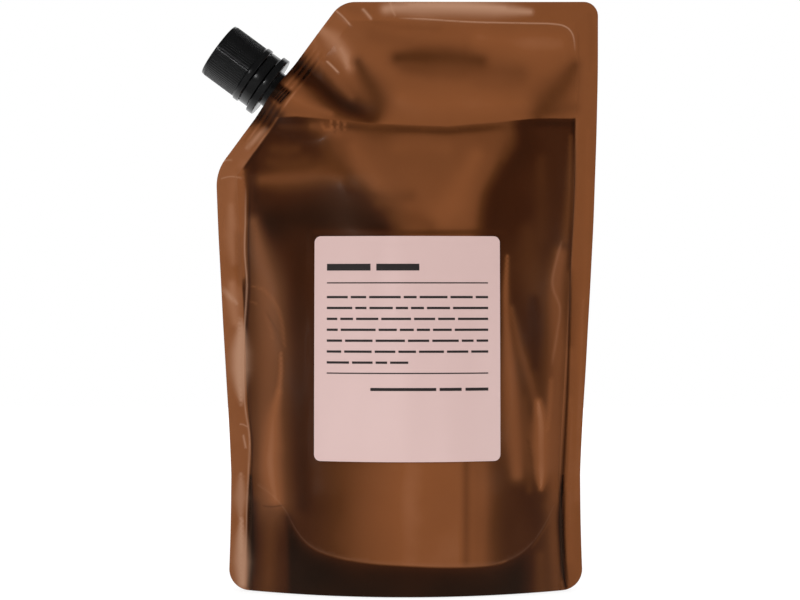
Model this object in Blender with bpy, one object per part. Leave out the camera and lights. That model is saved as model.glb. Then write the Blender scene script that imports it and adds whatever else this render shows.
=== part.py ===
"""Spouted stand-up refill pouch: two welded film panels, a folded bottom gusset, a corner spout with its
tamper band and screw cap, a front label and the liquid soap inside.

Metres, +Z up, front towards -Y. The origin is the middle of the flat patch of the gusset that rests on the table.
The film cannot stretch, so the deeper the pouch is filled at some height, the narrower it stands there.
"""

import math

import bmesh
import bpy
import numpy as np
from mathutils import Matrix, Vector, geometry

MM = 0.001

# Pouch, its width measured before filling and its height as it stands
FLAT_WIDTH = 161.8 * MM
HEIGHT = 247.4 * MM
FILM = 0.2 * MM
LAYER_GAP = 0.35 * MM
BOTTOM_CORNER_RADIUS = 9.0 * MM
TOP_CORNER_RADIUS = 6.0 * MM

# Welds
SIDE_WELD = 9.0 * MM
TOP_WELD = 8.0 * MM
SLANT_WELD = 8.2 * MM

# Corner cut off for the spout
CUT_DOWN = 71.4 * MM
CUT_IN = 53.8 * MM
CUT_UPPER_RADIUS = 11.5 * MM
CUT_LOWER_RADIUS = 19.0 * MM

# Filled shape, half-depths from the middle plane
BELLY_HALF_DEPTH = 27.0 * MM
BASE_TUCK = 2.0 * MM
BELLY_HEIGHT = 48.0 * MM
TAPER_POWER = 1.3
FILL_HEIGHT = 196.5 * MM
SOAP_CLEARANCE = 0.5 * MM
SOAP_FLOOR_CLEARANCE = 0.7 * MM

# Bottom gusset
GUSSET_FOLD = 41.0 * MM
SKIRT_HEIGHT = 11.0 * MM
SKIRT_CURVE_POWER = 4.0
FLAT_SHARE = 0.35
FOLD_SINK = 1.0 * MM
FOLD_MARGIN = 1.0 * MM
LAYER_STEP = 7.0 * MM
WEB_POWER = 2.5
RIDGE_POWER = 1.2

# Spout, heights measured outwards from the slanted edge
SPOUT_ALONG = 42.0 * MM
BORE_RADIUS = 7.0 * MM
NECK_RADIUS = 8.1 * MM
BOAT_HALF_LENGTH = 15.5 * MM
BOAT_HALF_WIDTH = 9.0 * MM
BOAT_DEPTH = 8.0 * MM
BOAT_RIBS = 4
BOAT_GROOVE = 0.4 * MM
BOAT_CLEARANCE = 0.35 * MM
BOAT_DRAPE = 38.0 * MM
BOAT_SPREAD = 0.5
FLANGE_RADIUS = 13.6 * MM
FLANGE_HEIGHT = 2.4 * MM
FLANGE_THICKNESS = 3.0 * MM
FLANGE_CHAMFER = 0.3 * MM
UPPER_NECK_RADIUS = 9.3 * MM
MOUTH_HEIGHT = 27.9 * MM
MOUTH_CHAMFER = 0.4 * MM
BEAD_RADIUS = 10.5 * MM
BEAD_HEIGHT = 1.8 * MM

# Tamper band, held under the neck's bead
BAND_GAP = 0.5 * MM
BAND_HEIGHT = 4.1 * MM
BAND_RADIUS = 12.2 * MM
BAND_WALL = 1.3 * MM
BAND_LIP_WALL = 2.3 * MM
BAND_LIP_HEIGHT = 1.3 * MM
BAND_CHAMFER = 0.25 * MM

# Screw cap
CAP_GAP = 0.4 * MM
CAP_RADIUS = 12.2 * MM
CAP_WALL = 1.6 * MM
CAP_TOP = 1.5 * MM
CAP_SEAT_GAP = 0.3 * MM
CAP_TOP_RADIUS = 1.3 * MM
CAP_BEAD_OUT = 0.6 * MM
CAP_BEAD_HEIGHT = 2.9 * MM
FLUTES = 48
FLUTE_DEPTH = 0.28 * MM
PLUG_CLEARANCE = 0.3 * MM
PLUG_WALL = 1.1 * MM
PLUG_LENGTH = 2.6 * MM

# Label
LABEL_WIDTH = 77.0 * MM
LABEL_HEIGHT = 93.0 * MM
LABEL_CENTRE = (0.6 * MM, 102.0 * MM)
LABEL_CORNER_RADIUS = 2.6 * MM
LABEL_THICKNESS = 0.12 * MM
LABEL_GAP = 0.3 * MM

# Mesh spacing
SHEET_SPACING = 9.4 * MM
BOAT_SPACING = 2.8 * MM
LABEL_SPACING = 10.0 * MM
ROUND_SIDES = 28
WEB_SHARES = (0.965, 0.91, 0.84, 0.76, 0.67, 0.58, 0.47, 0.35, 0.24, 0.12, 0.0)


def spine_depth(z):
    """Half-depth of the filled pouch on its middle line, at height z."""
    z = np.asarray(z, float)
    below = np.clip((BELLY_HEIGHT - z) / BELLY_HEIGHT, 0, 1)
    above = np.clip((z - BELLY_HEIGHT) / (HEIGHT - TOP_WELD - BELLY_HEIGHT), 0, 1)
    lower = BELLY_HALF_DEPTH - BASE_TUCK * below**2
    return np.where(z < BELLY_HEIGHT, lower, BELLY_HALF_DEPTH * (1 - above**TAPER_POWER))


def open_half_width(z):
    """Half the width between the side welds: a parabolic bow as deep as the spine keeps the film's length."""
    flat = FLAT_WIDTH / 2 - SIDE_WELD
    return (flat + np.sqrt(flat**2 - 8 / 3 * spine_depth(z) ** 2)) / 2


def half_width(z):
    """Half the pouch's width over its welds, at height z."""
    return open_half_width(z) + SIDE_WELD


CUT_TOP = Vector((-FLAT_WIDTH / 2 + CUT_IN, HEIGHT))
CUT_LOW = Vector((-float(half_width(HEIGHT - CUT_DOWN)), HEIGHT - CUT_DOWN))
SLANT = (CUT_TOP - CUT_LOW).normalized()
SLANT_OUT = Vector((-SLANT.y, SLANT.x))
SPOUT_SEAT = CUT_LOW + SLANT * SPOUT_ALONG


def slant_coordinates(x, z):
    """(distance along the slanted edge from the spout, distance inwards from the edge)."""
    dx, dz = x - SPOUT_SEAT.x, z - SPOUT_SEAT.y
    return dx * SLANT.x + dz * SLANT.y, -(dx * SLANT_OUT.x + dz * SLANT_OUT.y)


def open_left(z):
    """X of the inner edge of the left-hand weld, which follows the cut corner."""
    on_slant = CUT_LOW.x + (z - CUT_LOW.y) * SLANT.x / SLANT.y + SLANT_WELD / SLANT.y
    return np.maximum(-open_half_width(z), on_slant)


def bulge(x, z):
    """Half-depth that the filling gives the pouch, nothing on the welds."""
    left, right = open_left(z), open_half_width(z)
    across = (2 * x - left - right) / (right - left)
    return spine_depth(z) * np.clip(1 - across**2, 0, 1)


def boat_half_width(along, half_length=BOAT_HALF_LENGTH):
    """Half the thickness of the spout's weld boat, which runs out to nothing at its tips."""
    share = np.clip(np.abs(along) / half_length, 0, 1)
    return BOAT_HALF_WIDTH * np.cos(math.pi / 2 * share) ** 2


def boat_drape(x, z):
    """Half-depth at which the film lies round the boat and falls away from it into the pouch."""
    along, inwards = slant_coordinates(x, z)
    past = np.clip((inwards - SLANT_WELD) / BOAT_DRAPE, 0, 1)
    half_length = BOAT_HALF_LENGTH * (1 + BOAT_SPREAD * past)
    return boat_half_width(along, half_length) * np.cos(math.pi / 2 * past) ** 2


def panel_half_depth(x, z):
    """Half-depth of the inner face of a film panel. Below the fold there are two layers of gusset between."""
    x, z = np.asarray(x, float), np.asarray(z, float)
    boat = boat_drape(x, z)
    shape = (bulge(x, z) ** 4 + (boat + BOAT_CLEARANCE * np.clip(boat / MM, 0, 1)) ** 4) ** 0.25
    ramp = np.clip((GUSSET_FOLD + FOLD_MARGIN + LAYER_STEP - z) / LAYER_STEP, 0, 1)
    return shape + LAYER_GAP / 2 + (FILM + LAYER_GAP) * ramp


def skirt_top(share):
    """Height at which the gusset leaves a panel: the curved weld of a round-bottomed pouch. The share is of
    the open half-width, 0 in the middle and 1 at a side weld."""
    return SKIRT_HEIGHT + (GUSSET_FOLD - SKIRT_HEIGHT) * abs(share) ** SKIRT_CURVE_POWER


def fold_height(share):
    """Height of the gusset's middle fold: up in the side welds, sunk to the table in the middle."""
    away = min(1.0, (1 - abs(share)) / (1 - FLAT_SHARE))
    return (GUSSET_FOLD + FOLD_SINK) * math.cos(math.pi / 2 * away) ** RIDGE_POWER - FOLD_SINK


def web_height(share, part):
    """Height of the gusset's underside, part 0 on its fold and 1 where it meets a panel."""
    fold, weld = fold_height(share), skirt_top(share)
    return max(0.0, fold + (weld - fold) * abs(part) ** WEB_POWER)


def fillet(before, corner, after, radius, steps):
    """Points of an arc that rounds a corner."""
    to_before, to_after = (before - corner).normalized(), (after - corner).normalized()
    half_angle = to_before.angle(to_after) / 2
    centre = corner + (to_before + to_after).normalized() * radius / math.sin(half_angle)
    start = corner + to_before * radius / math.tan(half_angle) - centre
    turn = -start.angle_signed(corner + to_after * radius / math.tan(half_angle) - centre)
    return [centre + Matrix.Rotation(turn * k / steps, 2) @ start for k in range(steps + 1)]


def stretch(start, end, spacing):
    """Points strictly between two ends, evenly spaced."""
    count = max(1, math.ceil((end - start).length / spacing))
    return [start.lerp(end, k / count) for k in range(1, count)]


def side(sign, low, high, inset=0.0):
    """Points up a side of the pouch, strictly between two heights."""
    count = max(1, math.ceil((high - low) / SHEET_SPACING))
    heights = [low + (high - low) * k / count for k in range(1, count)]
    return [Vector((sign * (float(half_width(z)) - inset), z)) for z in heights]


def pouch_outline():
    """Closed outline of a panel seen from the front, anticlockwise from the bottom left."""
    foot = float(half_width(BOTTOM_CORNER_RADIUS))
    left_foot, right_foot = Vector((-foot, 0)), Vector((foot, 0))
    top_right = Vector((FLAT_WIDTH / 2, HEIGHT))
    up = Vector((0, 1))
    foot_left = fillet(left_foot + up, left_foot, right_foot, BOTTOM_CORNER_RADIUS, 4)
    foot_right = fillet(left_foot, right_foot, right_foot + up, BOTTOM_CORNER_RADIUS, 4)
    shoulder = fillet(top_right - up, top_right, CUT_TOP, TOP_CORNER_RADIUS, 4)
    cut_upper = fillet(top_right, CUT_TOP, CUT_LOW, CUT_UPPER_RADIUS, 4)
    under_cut = CUT_LOW.y - CUT_LOWER_RADIUS
    below = Vector((-float(half_width(under_cut)), under_cut))
    cut_lower = fillet(CUT_TOP, CUT_LOW, below, CUT_LOWER_RADIUS, 3)
    boat_high = SPOUT_SEAT + SLANT * (BOAT_HALF_LENGTH + BOAT_SPACING)
    boat_low = SPOUT_SEAT - SLANT * (BOAT_HALF_LENGTH + BOAT_SPACING)
    slanted = [boat_high, *stretch(boat_high, boat_low, BOAT_SPACING), boat_low]
    return [
        *foot_left,
        *stretch(foot_left[-1], foot_right[0], SHEET_SPACING),
        *foot_right,
        *side(1, foot_right[-1].y, shoulder[0].y),
        *shoulder,
        *stretch(shoulder[-1], cut_upper[0], SHEET_SPACING),
        *cut_upper,
        *stretch(cut_upper[-1], boat_high, SHEET_SPACING / 2),
        *slanted,
        *stretch(boat_low, cut_lower[0], SHEET_SPACING / 2),
        *cut_lower,
        *reversed(side(-1, foot_left[0].y, cut_lower[-1].y)),
    ]


def weld_line():
    """Inner edge of the side, top and slanted welds, where the film bends: up the left and down the right."""
    low = BOTTOM_CORNER_RADIUS / 2
    top = HEIGHT - TOP_WELD
    inner_low = CUT_LOW - SLANT_OUT * SLANT_WELD
    corner_z = inner_low.y + (-float(open_half_width(CUT_LOW.y)) - inner_low.x) * SLANT.y / SLANT.x
    corner = Vector((-float(open_half_width(corner_z)), corner_z))
    upper = inner_low + SLANT * (top - inner_low.y) / SLANT.y
    boat_low = SPOUT_SEAT - SLANT_OUT * SLANT_WELD - SLANT * BOAT_HALF_LENGTH
    boat_high = boat_low + SLANT * 2 * BOAT_HALF_LENGTH
    right_top = Vector((float(open_half_width(top)), top))
    return [
        Vector((-float(open_half_width(low)), low)),
        *side(-1, low, corner_z, SIDE_WELD),
        corner,
        *stretch(corner, boat_low, SHEET_SPACING / 2),
        boat_low,
        *stretch(boat_low, boat_high, BOAT_SPACING),
        boat_high,
        *stretch(boat_high, upper, SHEET_SPACING / 2),
        upper,
        *stretch(upper, right_top, SHEET_SPACING),
        right_top,
        *reversed(side(1, low, top, SIDE_WELD)),
        Vector((float(open_half_width(low)), low)),
    ]


def inside(points, outline):
    """Which points lie inside a closed outline, by counting the edges to their right."""
    crossings = np.zeros(len(points), int)
    for a, b in zip(outline, np.roll(outline, -1, axis=0)):
        spans = (a[1] > points[:, 1]) != (b[1] > points[:, 1])
        rise = b[1] - a[1] if b[1] != a[1] else 1.0
        crossings += spans & (points[:, 0] < a[0] + (points[:, 1] - a[1]) * (b[0] - a[0]) / rise)
    return crossings % 2 == 1


def lattice(low, high, spacing):
    """Points of a triangular lattice over a rectangle."""
    rows = np.arange(low[1], high[1], spacing * math.sqrt(3) / 2)
    columns = np.arange(low[0], high[0], spacing)
    return np.array([(x + spacing / 2 * (k % 2), z) for k, z in enumerate(rows) for x in columns])


def spread_points(outline, lines, spacing, fine_spacing=None, fine_centre=None, fine_reach=0.0):
    """Lattice points inside an outline that keep clear of its lines, finer round one place."""
    levels = [(spacing, fine_reach, math.inf)]
    if fine_spacing:
        levels = [(fine_spacing, 0.0, fine_reach), (fine_spacing * 2, fine_reach, fine_reach * 1.6)]
        levels.append((spacing, fine_reach * 1.6, math.inf))
    fixed = np.array([tuple(p) for p in outline] + [tuple(p) for p in lines])
    kept = []
    for step, near, far in levels:
        points = lattice(fixed.min(0), fixed.max(0), step)
        if fine_centre:
            away = np.hypot(points[:, 0] - fine_centre[0], points[:, 1] - fine_centre[1])
            points = points[(away >= near) & (away < far)]
        points = points[inside(points, np.array([tuple(p) for p in outline]))]
        gaps = np.hypot(points[:, None, 0] - fixed[None, :, 0], points[:, None, 1] - fixed[None, :, 1])
        kept.append(points[gaps.min(1) > 0.62 * step])
        fixed = np.vstack([fixed, kept[-1]])
    return np.vstack(kept)


def cut_sheet(outline, crease, **spacings):
    """Flat triangulated sheet cut to an outline, with edges along a crease. Returns its points and triangles."""
    crease = crease or []
    loose = spread_points(outline, crease, **spacings)
    points = [Vector(p) for p in (*outline, *crease, *map(tuple, loose))]
    count = len(outline)
    edges = [(k, (k + 1) % count) for k in range(count)]
    edges += [(count + k, count + k + 1) for k in range(len(crease) - 1)]
    scaled = [p / MM for p in points]
    flat, _, faces, *_ = geometry.delaunay_2d_cdt(scaled, edges, [], 1, 1e-4)
    return [p * MM for p in flat], [tuple(f) for f in faces]


def new_object(name, points, faces, material, parent=None):
    """Mesh object with outward faces, shaded smooth."""
    mesh = bpy.data.meshes.new(name)
    shape = bmesh.new()
    made = [shape.verts.new(p) for p in points]
    for face in faces:
        shape.faces.new([made[k] for k in face])
    loose = [v for v in shape.verts if not v.link_faces]
    bmesh.ops.delete(shape, geom=loose, context="VERTS")
    if all(len(e.link_faces) == 2 for e in shape.edges):
        bmesh.ops.recalc_face_normals(shape, faces=shape.faces)
    shape.to_mesh(mesh)
    shape.free()
    mesh.shade_smooth()
    mesh.set_sharp_from_angle(angle=math.radians(35))
    mesh.materials.append(material)
    obj = bpy.data.objects.new(name, mesh)
    bpy.context.scene.collection.objects.link(obj)
    obj.parent = parent
    return obj


def thicken(obj, thickness):
    """Gives a sheet its thickness, on the side that its faces point to."""
    solid = obj.modifiers.new("Film", "SOLIDIFY")
    solid.thickness = thickness
    solid.offset = 1.0
    solid.use_even_offset = True
    solid.use_quality_normals = True
    return obj


def plastic(name, colour, roughness, transmission=0.0):
    """Plain material in an object's own colour."""
    material = bpy.data.materials.new(name)
    material.use_nodes = True
    shader = material.node_tree.nodes["Principled BSDF"]
    shader.inputs["Base Color"].default_value = (*colour, 1.0)
    shader.inputs["Roughness"].default_value = roughness
    shader.inputs["Metallic"].default_value = 0.0
    shader.inputs["Transmission Weight"].default_value = transmission
    return material


def loft(rings, closed_ends=True, closed_along=False):
    """Points and faces of a skin over rings that have as many points each."""
    count = len(rings[0])
    points = [p for ring in rings for p in ring]
    faces = []
    spans = len(rings) if closed_along else len(rings) - 1
    for i in range(spans):
        low, high = i * count, (i + 1) % len(rings) * count
        for k in range(count):
            following = (k + 1) % count
            faces.append((low + k, low + following, high + following, high + k))
    if closed_ends and not closed_along:
        faces.append(tuple(reversed(range(count))))
        faces.append(tuple(len(points) - count + k for k in range(count)))
    return points, faces


def circle(radius, height, sides=ROUND_SIDES):
    """Ring of points round the local Z axis."""
    angles = [2 * math.pi * k / sides for k in range(sides)]
    return [Vector((radius * math.cos(a), radius * math.sin(a), height)) for a in angles]


def boat_ring(height, inset=0.0):
    """Canoe-shaped outline of the weld boat at one height, drawn in all round for a groove between ribs."""
    length = BOAT_HALF_LENGTH - 3 * inset
    ring = []
    for ray in circle(1.0, height):
        width = boat_half_width(ray.x * BOAT_HALF_LENGTH) * (1 - inset / BOAT_HALF_WIDTH)
        ring.append(Vector((ray.x * length, math.copysign(width, ray.y), height)))
    return ring


def make_panel(name, sign, film):
    """Front (sign -1) or back (sign 1) film panel, cut flat and then bowed out by the filling."""
    flat, faces = cut_sheet(
        pouch_outline(),
        weld_line(),
        spacing=SHEET_SPACING,
        fine_spacing=BOAT_SPACING,
        fine_centre=tuple(SPOUT_SEAT - SLANT_OUT * SLANT_WELD / 2),
        fine_reach=BOAT_HALF_LENGTH + SLANT_WELD / 2,
    )
    depth = panel_half_depth(np.array([p.x for p in flat]), np.array([p.y for p in flat]))
    points = [Vector((p.x, sign * float(d), p.y)) for p, d in zip(flat, depth)]
    panel = new_object(name, points, faces if sign < 0 else [f[::-1] for f in faces], film)
    return thicken(panel, FILM)


def gusset_column(share, margin):
    """Points across the gusset from the front foot to the back foot, at one share of the open half-width or
    one margin into a side weld."""

    def across(z):
        return share * float(open_half_width(z)) + margin

    foot = float(half_width(BOTTOM_CORNER_RADIUS))
    into_corner = max(0.0, abs(across(0.0)) - (foot - BOTTOM_CORNER_RADIUS))
    low = BOTTOM_CORNER_RADIUS - math.sqrt(max(0.0, BOTTOM_CORNER_RADIUS**2 - into_corner**2))
    weld = float(skirt_top(share))
    front = []
    for k in range(3):
        z = low + (weld - low) * k / 2
        depth = float(spine_depth(z)) * (1 - share**2) + LAYER_GAP / 2
        front.append(Vector((across(z), -depth, z)))
    reach = -front[-1].y
    for part in (0.85, 0.68, 0.48, 0.25):
        front.append(Vector((across(weld), -reach * part, float(web_height(share, part)))))
    back = [Vector((p.x, -p.y, p.z)) for p in reversed(front)]
    return [*front, Vector((across(weld), 0.0, float(web_height(share, 0.0)))), *back]


def make_gusset(film):
    """Bottom web: welded inside both panels up to a curve, folded up in the side welds and flat on the table."""
    right = [(1.0, SIDE_WELD), (1.0, 0.65 * SIDE_WELD), (1.0, 0.0), *((share, 0.0) for share in WEB_SHARES)]
    stations = [(-share, -margin) for share, margin in right[:-1]] + right[::-1]
    columns = [gusset_column(*station) for station in stations]
    count = len(columns[0])
    points = [p for column in columns for p in column]
    faces = []
    for i in range(len(columns) - 1):
        for k in range(count - 1):
            a, b = i * count + k, (i + 1) * count + k
            faces.append((a, b, b + 1, a + 1))
    return thicken(new_object("bottom_gusset", points, faces, film), FILM)


def soap_section(share):
    """Closed section through the soap at one share of the way from the middle to a side weld."""
    lift = FILM + SOAP_FLOOR_CLEARANCE
    bottom = max(skirt_top(share), fold_height(share)) + lift
    front = []
    for k in range(13):
        z = FILL_HEIGHT + (bottom - FILL_HEIGHT) * k / 12
        left, right = float(open_left(z)), float(open_half_width(z))
        x = (left + right) / 2 + share * (right - left) / 2
        depth = float(bulge(x, z)) + LAYER_GAP / 2 - SOAP_CLEARANCE
        front.append(Vector((x, -max(depth, 0.15 * MM), z)))
    x, reach = front[-1].x, -front[-1].y
    floor = [
        Vector((x, -reach * part, max(web_height(share, part), fold_height(share)) + lift))
        for part in (0.8, 0.55, 0.28, 0.0, -0.28, -0.55, -0.8)
    ]
    back = [Vector((p.x, -p.y, p.z)) for p in reversed(front)]
    return [*front, *floor, *back]


def make_soap(liquid):
    """Liquid soap up to the fill line, clear of the film."""
    shares = [-share for share in WEB_SHARES[:-1]] + list(reversed(WEB_SHARES))
    points, faces = loft([soap_section(share) for share in shares])
    return new_object("soap", points, faces, liquid)


def make_spout(plastic_black, axis):
    """Spout moulding: ribbed weld boat, neck, flange, retaining bead and the bore through them all."""
    rib = BOAT_DEPTH / (BOAT_RIBS + (BOAT_RIBS - 1) * 0.8)
    rings = []
    height = -BOAT_DEPTH - LAYER_GAP / 2
    for k in range(BOAT_RIBS):
        rings += [boat_ring(height), boat_ring(height + rib)]
        height += rib
        if k < BOAT_RIBS - 1:
            rings += [boat_ring(height, BOAT_GROOVE), boat_ring(height + 0.8 * rib, BOAT_GROOVE)]
            height += 0.8 * rib
    flange_top = FLANGE_HEIGHT + FLANGE_THICKNESS
    bead_low = flange_top + BAND_GAP + BAND_LIP_HEIGHT + 0.4 * MM
    outside = [
        (NECK_RADIUS, height),
        (NECK_RADIUS, FLANGE_HEIGHT),
        (FLANGE_RADIUS - FLANGE_CHAMFER, FLANGE_HEIGHT),
        (FLANGE_RADIUS, FLANGE_HEIGHT + FLANGE_CHAMFER),
        (FLANGE_RADIUS, flange_top - FLANGE_CHAMFER),
        (FLANGE_RADIUS - FLANGE_CHAMFER, flange_top),
        (UPPER_NECK_RADIUS, flange_top),
        (UPPER_NECK_RADIUS, bead_low),
        (BEAD_RADIUS, bead_low),
        (BEAD_RADIUS, bead_low + BEAD_HEIGHT * 0.4),
        (UPPER_NECK_RADIUS, bead_low + BEAD_HEIGHT),
        (UPPER_NECK_RADIUS, MOUTH_HEIGHT - MOUTH_CHAMFER),
        (UPPER_NECK_RADIUS - MOUTH_CHAMFER, MOUTH_HEIGHT),
    ]
    rings += [circle(radius, h) for radius, h in outside]
    rings += [circle(BORE_RADIUS, MOUTH_HEIGHT), circle(BORE_RADIUS, rings[0][0].z)]
    points, faces = loft(rings, closed_along=True)
    return new_object("spout", points, faces, plastic_black, axis)


def make_tamper_band(plastic_black, axis):
    """Ring left on the neck when the cap is unscrewed, its inner lip caught under the neck's bead."""
    low = FLANGE_HEIGHT + FLANGE_THICKNESS + BAND_GAP
    high = low + BAND_HEIGHT
    inner, lip = BAND_RADIUS - BAND_WALL, BAND_RADIUS - BAND_LIP_WALL
    profile = [
        (BAND_RADIUS - BAND_CHAMFER, low),
        (BAND_RADIUS, low + BAND_CHAMFER),
        (BAND_RADIUS, high - BAND_CHAMFER),
        (BAND_RADIUS - BAND_CHAMFER, high),
        (inner, high),
        (inner, low + BAND_LIP_HEIGHT),
        (lip, low + BAND_LIP_HEIGHT),
        (lip, low),
    ]
    points, faces = loft([circle(radius, h, 32) for radius, h in profile], closed_along=True)
    return new_object("tamper_band", points, faces, plastic_black, axis)


def fluted_ring(radius, height, depth):
    """Ring with a shallow groove between each pair of flutes."""
    ring = circle(radius, height, 2 * FLUTES)
    return [p if k % 2 else Vector((p.x * (1 - depth / radius), p.y * (1 - depth / radius), height))
            for k, p in enumerate(ring)]


def make_cap(plastic_black, axis):
    """Screw cap: fluted skirt over a plain bead, hollow for the neck, with a plug that seals the bore."""
    low = FLANGE_HEIGHT + FLANGE_THICKNESS + BAND_GAP + BAND_HEIGHT + CAP_GAP
    seat = MOUTH_HEIGHT + CAP_SEAT_GAP
    high = seat + CAP_TOP
    bead = CAP_RADIUS + CAP_BEAD_OUT
    bead_high = low + CAP_BEAD_HEIGHT
    rings = [
        fluted_ring(bead - 0.3 * MM, low, 0),
        fluted_ring(bead, low + 0.3 * MM, 0),
        fluted_ring(bead, bead_high - 0.4 * MM, 0),
        fluted_ring(CAP_RADIUS, bead_high, FLUTE_DEPTH),
        fluted_ring(CAP_RADIUS, high - CAP_TOP_RADIUS, FLUTE_DEPTH),
        fluted_ring(CAP_RADIUS - 0.3 * CAP_TOP_RADIUS, high - 0.3 * CAP_TOP_RADIUS, 0),
        fluted_ring(CAP_RADIUS - CAP_TOP_RADIUS, high, 0),
    ]
    points, faces = loft(rings)
    cap = new_object("cap", points, faces, plastic_black, axis)
    plug = BORE_RADIUS - PLUG_CLEARANCE
    hollow = [
        circle(CAP_RADIUS - CAP_WALL, low - MM),
        circle(CAP_RADIUS - CAP_WALL, seat),
        circle(plug, seat),
        circle(plug, seat - PLUG_LENGTH),
        circle(plug - PLUG_WALL, seat - PLUG_LENGTH),
        circle(plug - PLUG_WALL, seat),
    ]
    points, faces = loft(hollow, closed_ends=False)
    faces.append(tuple(reversed(range(ROUND_SIDES))))
    faces.append(tuple(len(points) - ROUND_SIDES + k for k in range(ROUND_SIDES)))
    cutter = new_object("cap_hollow", points, faces, plastic_black, axis)
    cutter.hide_render = True
    cutter.display_type = "WIRE"
    cut = cap.modifiers.new("Hollow", "BOOLEAN")
    cut.operation = "DIFFERENCE"
    cut.object = cutter
    return cap


def make_label(paper):
    """Front label with rounded corners, following the front panel."""
    half = Vector((LABEL_WIDTH / 2, LABEL_HEIGHT / 2))
    centre = Vector(LABEL_CENTRE)
    corners = [centre + Vector((half.x * a, half.y * b)) for a, b in ((-1, -1), (1, -1), (1, 1), (-1, 1))]
    outline = []
    for k, corner in enumerate(corners):
        arc = fillet(corners[k - 1], corner, corners[(k + 1) % 4], LABEL_CORNER_RADIUS, 3)
        if outline:
            outline += stretch(outline[-1], arc[0], LABEL_SPACING)
        outline += arc
    outline += stretch(outline[-1], outline[0], LABEL_SPACING)
    flat, faces = cut_sheet(outline, None, spacing=LABEL_SPACING)
    lift = FILM + LABEL_GAP
    depth = panel_half_depth(np.array([p.x for p in flat]), np.array([p.y for p in flat])) + lift
    points = [Vector((p.x, -float(d), p.y)) for p, d in zip(flat, depth)]
    return thicken(new_object("label", points, faces, paper), LABEL_THICKNESS)


def spout_axis():
    """Empty on the slanted edge: local X along the edge, local Z out along the spout and cap."""
    axis = bpy.data.objects.new("spout_axis", None)
    axis.empty_display_size = 0.02
    bpy.context.scene.collection.objects.link(axis)
    turn = Matrix(((SLANT.x, 0, SLANT_OUT.x), (0, 1, 0), (SLANT.y, 0, SLANT_OUT.y)))
    axis.matrix_world = Matrix.Translation((SPOUT_SEAT.x, 0, SPOUT_SEAT.y)) @ turn.to_4x4()
    return axis


def build():
    """Clears the scene and makes every piece of the pouch."""
    for old in list(bpy.data.objects):
        bpy.data.objects.remove(old, do_unlink=True)
    film = plastic("amber_film", (0.22, 0.085, 0.03), 0.25, 0.5)
    liquid = plastic("soap_liquid", (0.16, 0.06, 0.02), 0.1, 0.8)
    black = plastic("black_plastic", (0.012, 0.012, 0.012), 0.35)
    paper = plastic("pink_paper", (0.72, 0.54, 0.52), 0.55)
    make_panel("front_panel", -1, film)
    make_panel("back_panel", 1, film)
    make_gusset(film)
    make_soap(liquid)
    axis = spout_axis()
    make_spout(black, axis)
    make_tamper_band(black, axis)
    make_cap(black, axis)
    make_label(paper)


build()
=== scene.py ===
"""Looks of a spouted stand-up refill pouch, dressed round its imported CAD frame.

The film panels, the gusset, the soap, the spout, the tamper band, the cap and the label are rebuilt as fine
meshes from the same sizes as the CAD solids, and each replaces its CAD node. Metres, +Z up, front towards -Y.
"""

from __future__ import annotations

import logging
import math
import random
import sys
from dataclasses import dataclass, field
from enum import Enum
from functools import cached_property, partial

import bmesh
import bpy
import numpy as np
from mathutils import Matrix, Vector, geometry, kdtree, noise

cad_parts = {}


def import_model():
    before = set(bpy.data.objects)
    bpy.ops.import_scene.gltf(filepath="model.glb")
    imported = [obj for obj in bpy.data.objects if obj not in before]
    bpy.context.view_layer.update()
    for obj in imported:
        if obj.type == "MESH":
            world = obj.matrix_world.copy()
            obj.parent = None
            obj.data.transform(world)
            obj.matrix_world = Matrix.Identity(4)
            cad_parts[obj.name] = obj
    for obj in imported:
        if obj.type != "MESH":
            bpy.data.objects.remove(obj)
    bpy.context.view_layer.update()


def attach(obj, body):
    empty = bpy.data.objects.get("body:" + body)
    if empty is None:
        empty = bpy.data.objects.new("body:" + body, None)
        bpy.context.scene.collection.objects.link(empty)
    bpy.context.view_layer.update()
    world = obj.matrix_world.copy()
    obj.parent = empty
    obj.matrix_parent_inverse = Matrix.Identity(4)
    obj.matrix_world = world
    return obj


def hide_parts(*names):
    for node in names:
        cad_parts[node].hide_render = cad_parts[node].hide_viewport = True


MM = 0.001
LOG = logging.getLogger("refill_pouch")
WHITE = (1.0, 1.0, 1.0, 1.0)
TINY = 1e-9

# Sideways fade of a mark: rate of a soft one, power of a banded one, rate and fading ends of a fine one
SOFT_RATE = 0.69
BAND_POWER = 5
FINE_RATE = 1.3
FINE_END = 0.14

# Steps between two points of a mark, and along the arcs of a panel's corners
CURVE_STEPS = 5
ARC_STEPS = 14
SHOULDER_STEPS = 12

# Shares of the mesh spacing that stay free between fine and fixed points, and round both in the open
FINE_ROOM = 0.3
OPEN_ROOM = 0.62
DELAUNAY_TOLERANCE = 1e-4

# Edges sharper than this show as edges; corners flatter than the other stay unrounded
SHARP_ANGLE = math.radians(38)
FLAT_ANGLE = math.radians(172)
CORNER_ROOM = 0.45

# Where the gusset's web and the soap over it have points, 0 on the fold and 1 where the web meets a panel
WEB_PARTS = (0.96, 0.9, 0.82, 0.73, 0.63, 0.52, 0.4, 0.28, 0.14)
FLOOR_PARTS = (0.9, 0.8, 0.67, 0.55, 0.41, 0.28, 0.14)
# Steps up the part of the gusset that lies on a panel
SKIRT_STEPS = 8

# Brightest value of the film's light mask
LIGHT_TOP = 1.25

# The label, in millimetres
LABEL_WIDTH = 77.0
LABEL_HEIGHT = 93.0
LABEL_CENTRE = (0.6, 102.0)

Point2 = tuple[float, float]
Profile = list[Point2]
Faces = list[tuple[int, ...]]
Skin = tuple[list[Vector], Faces]


class Body(Enum):
    """Bodies of the frame that pieces ride on."""

    PACK = "pack"
    BAND = "band"
    CAP = "cap"


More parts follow.
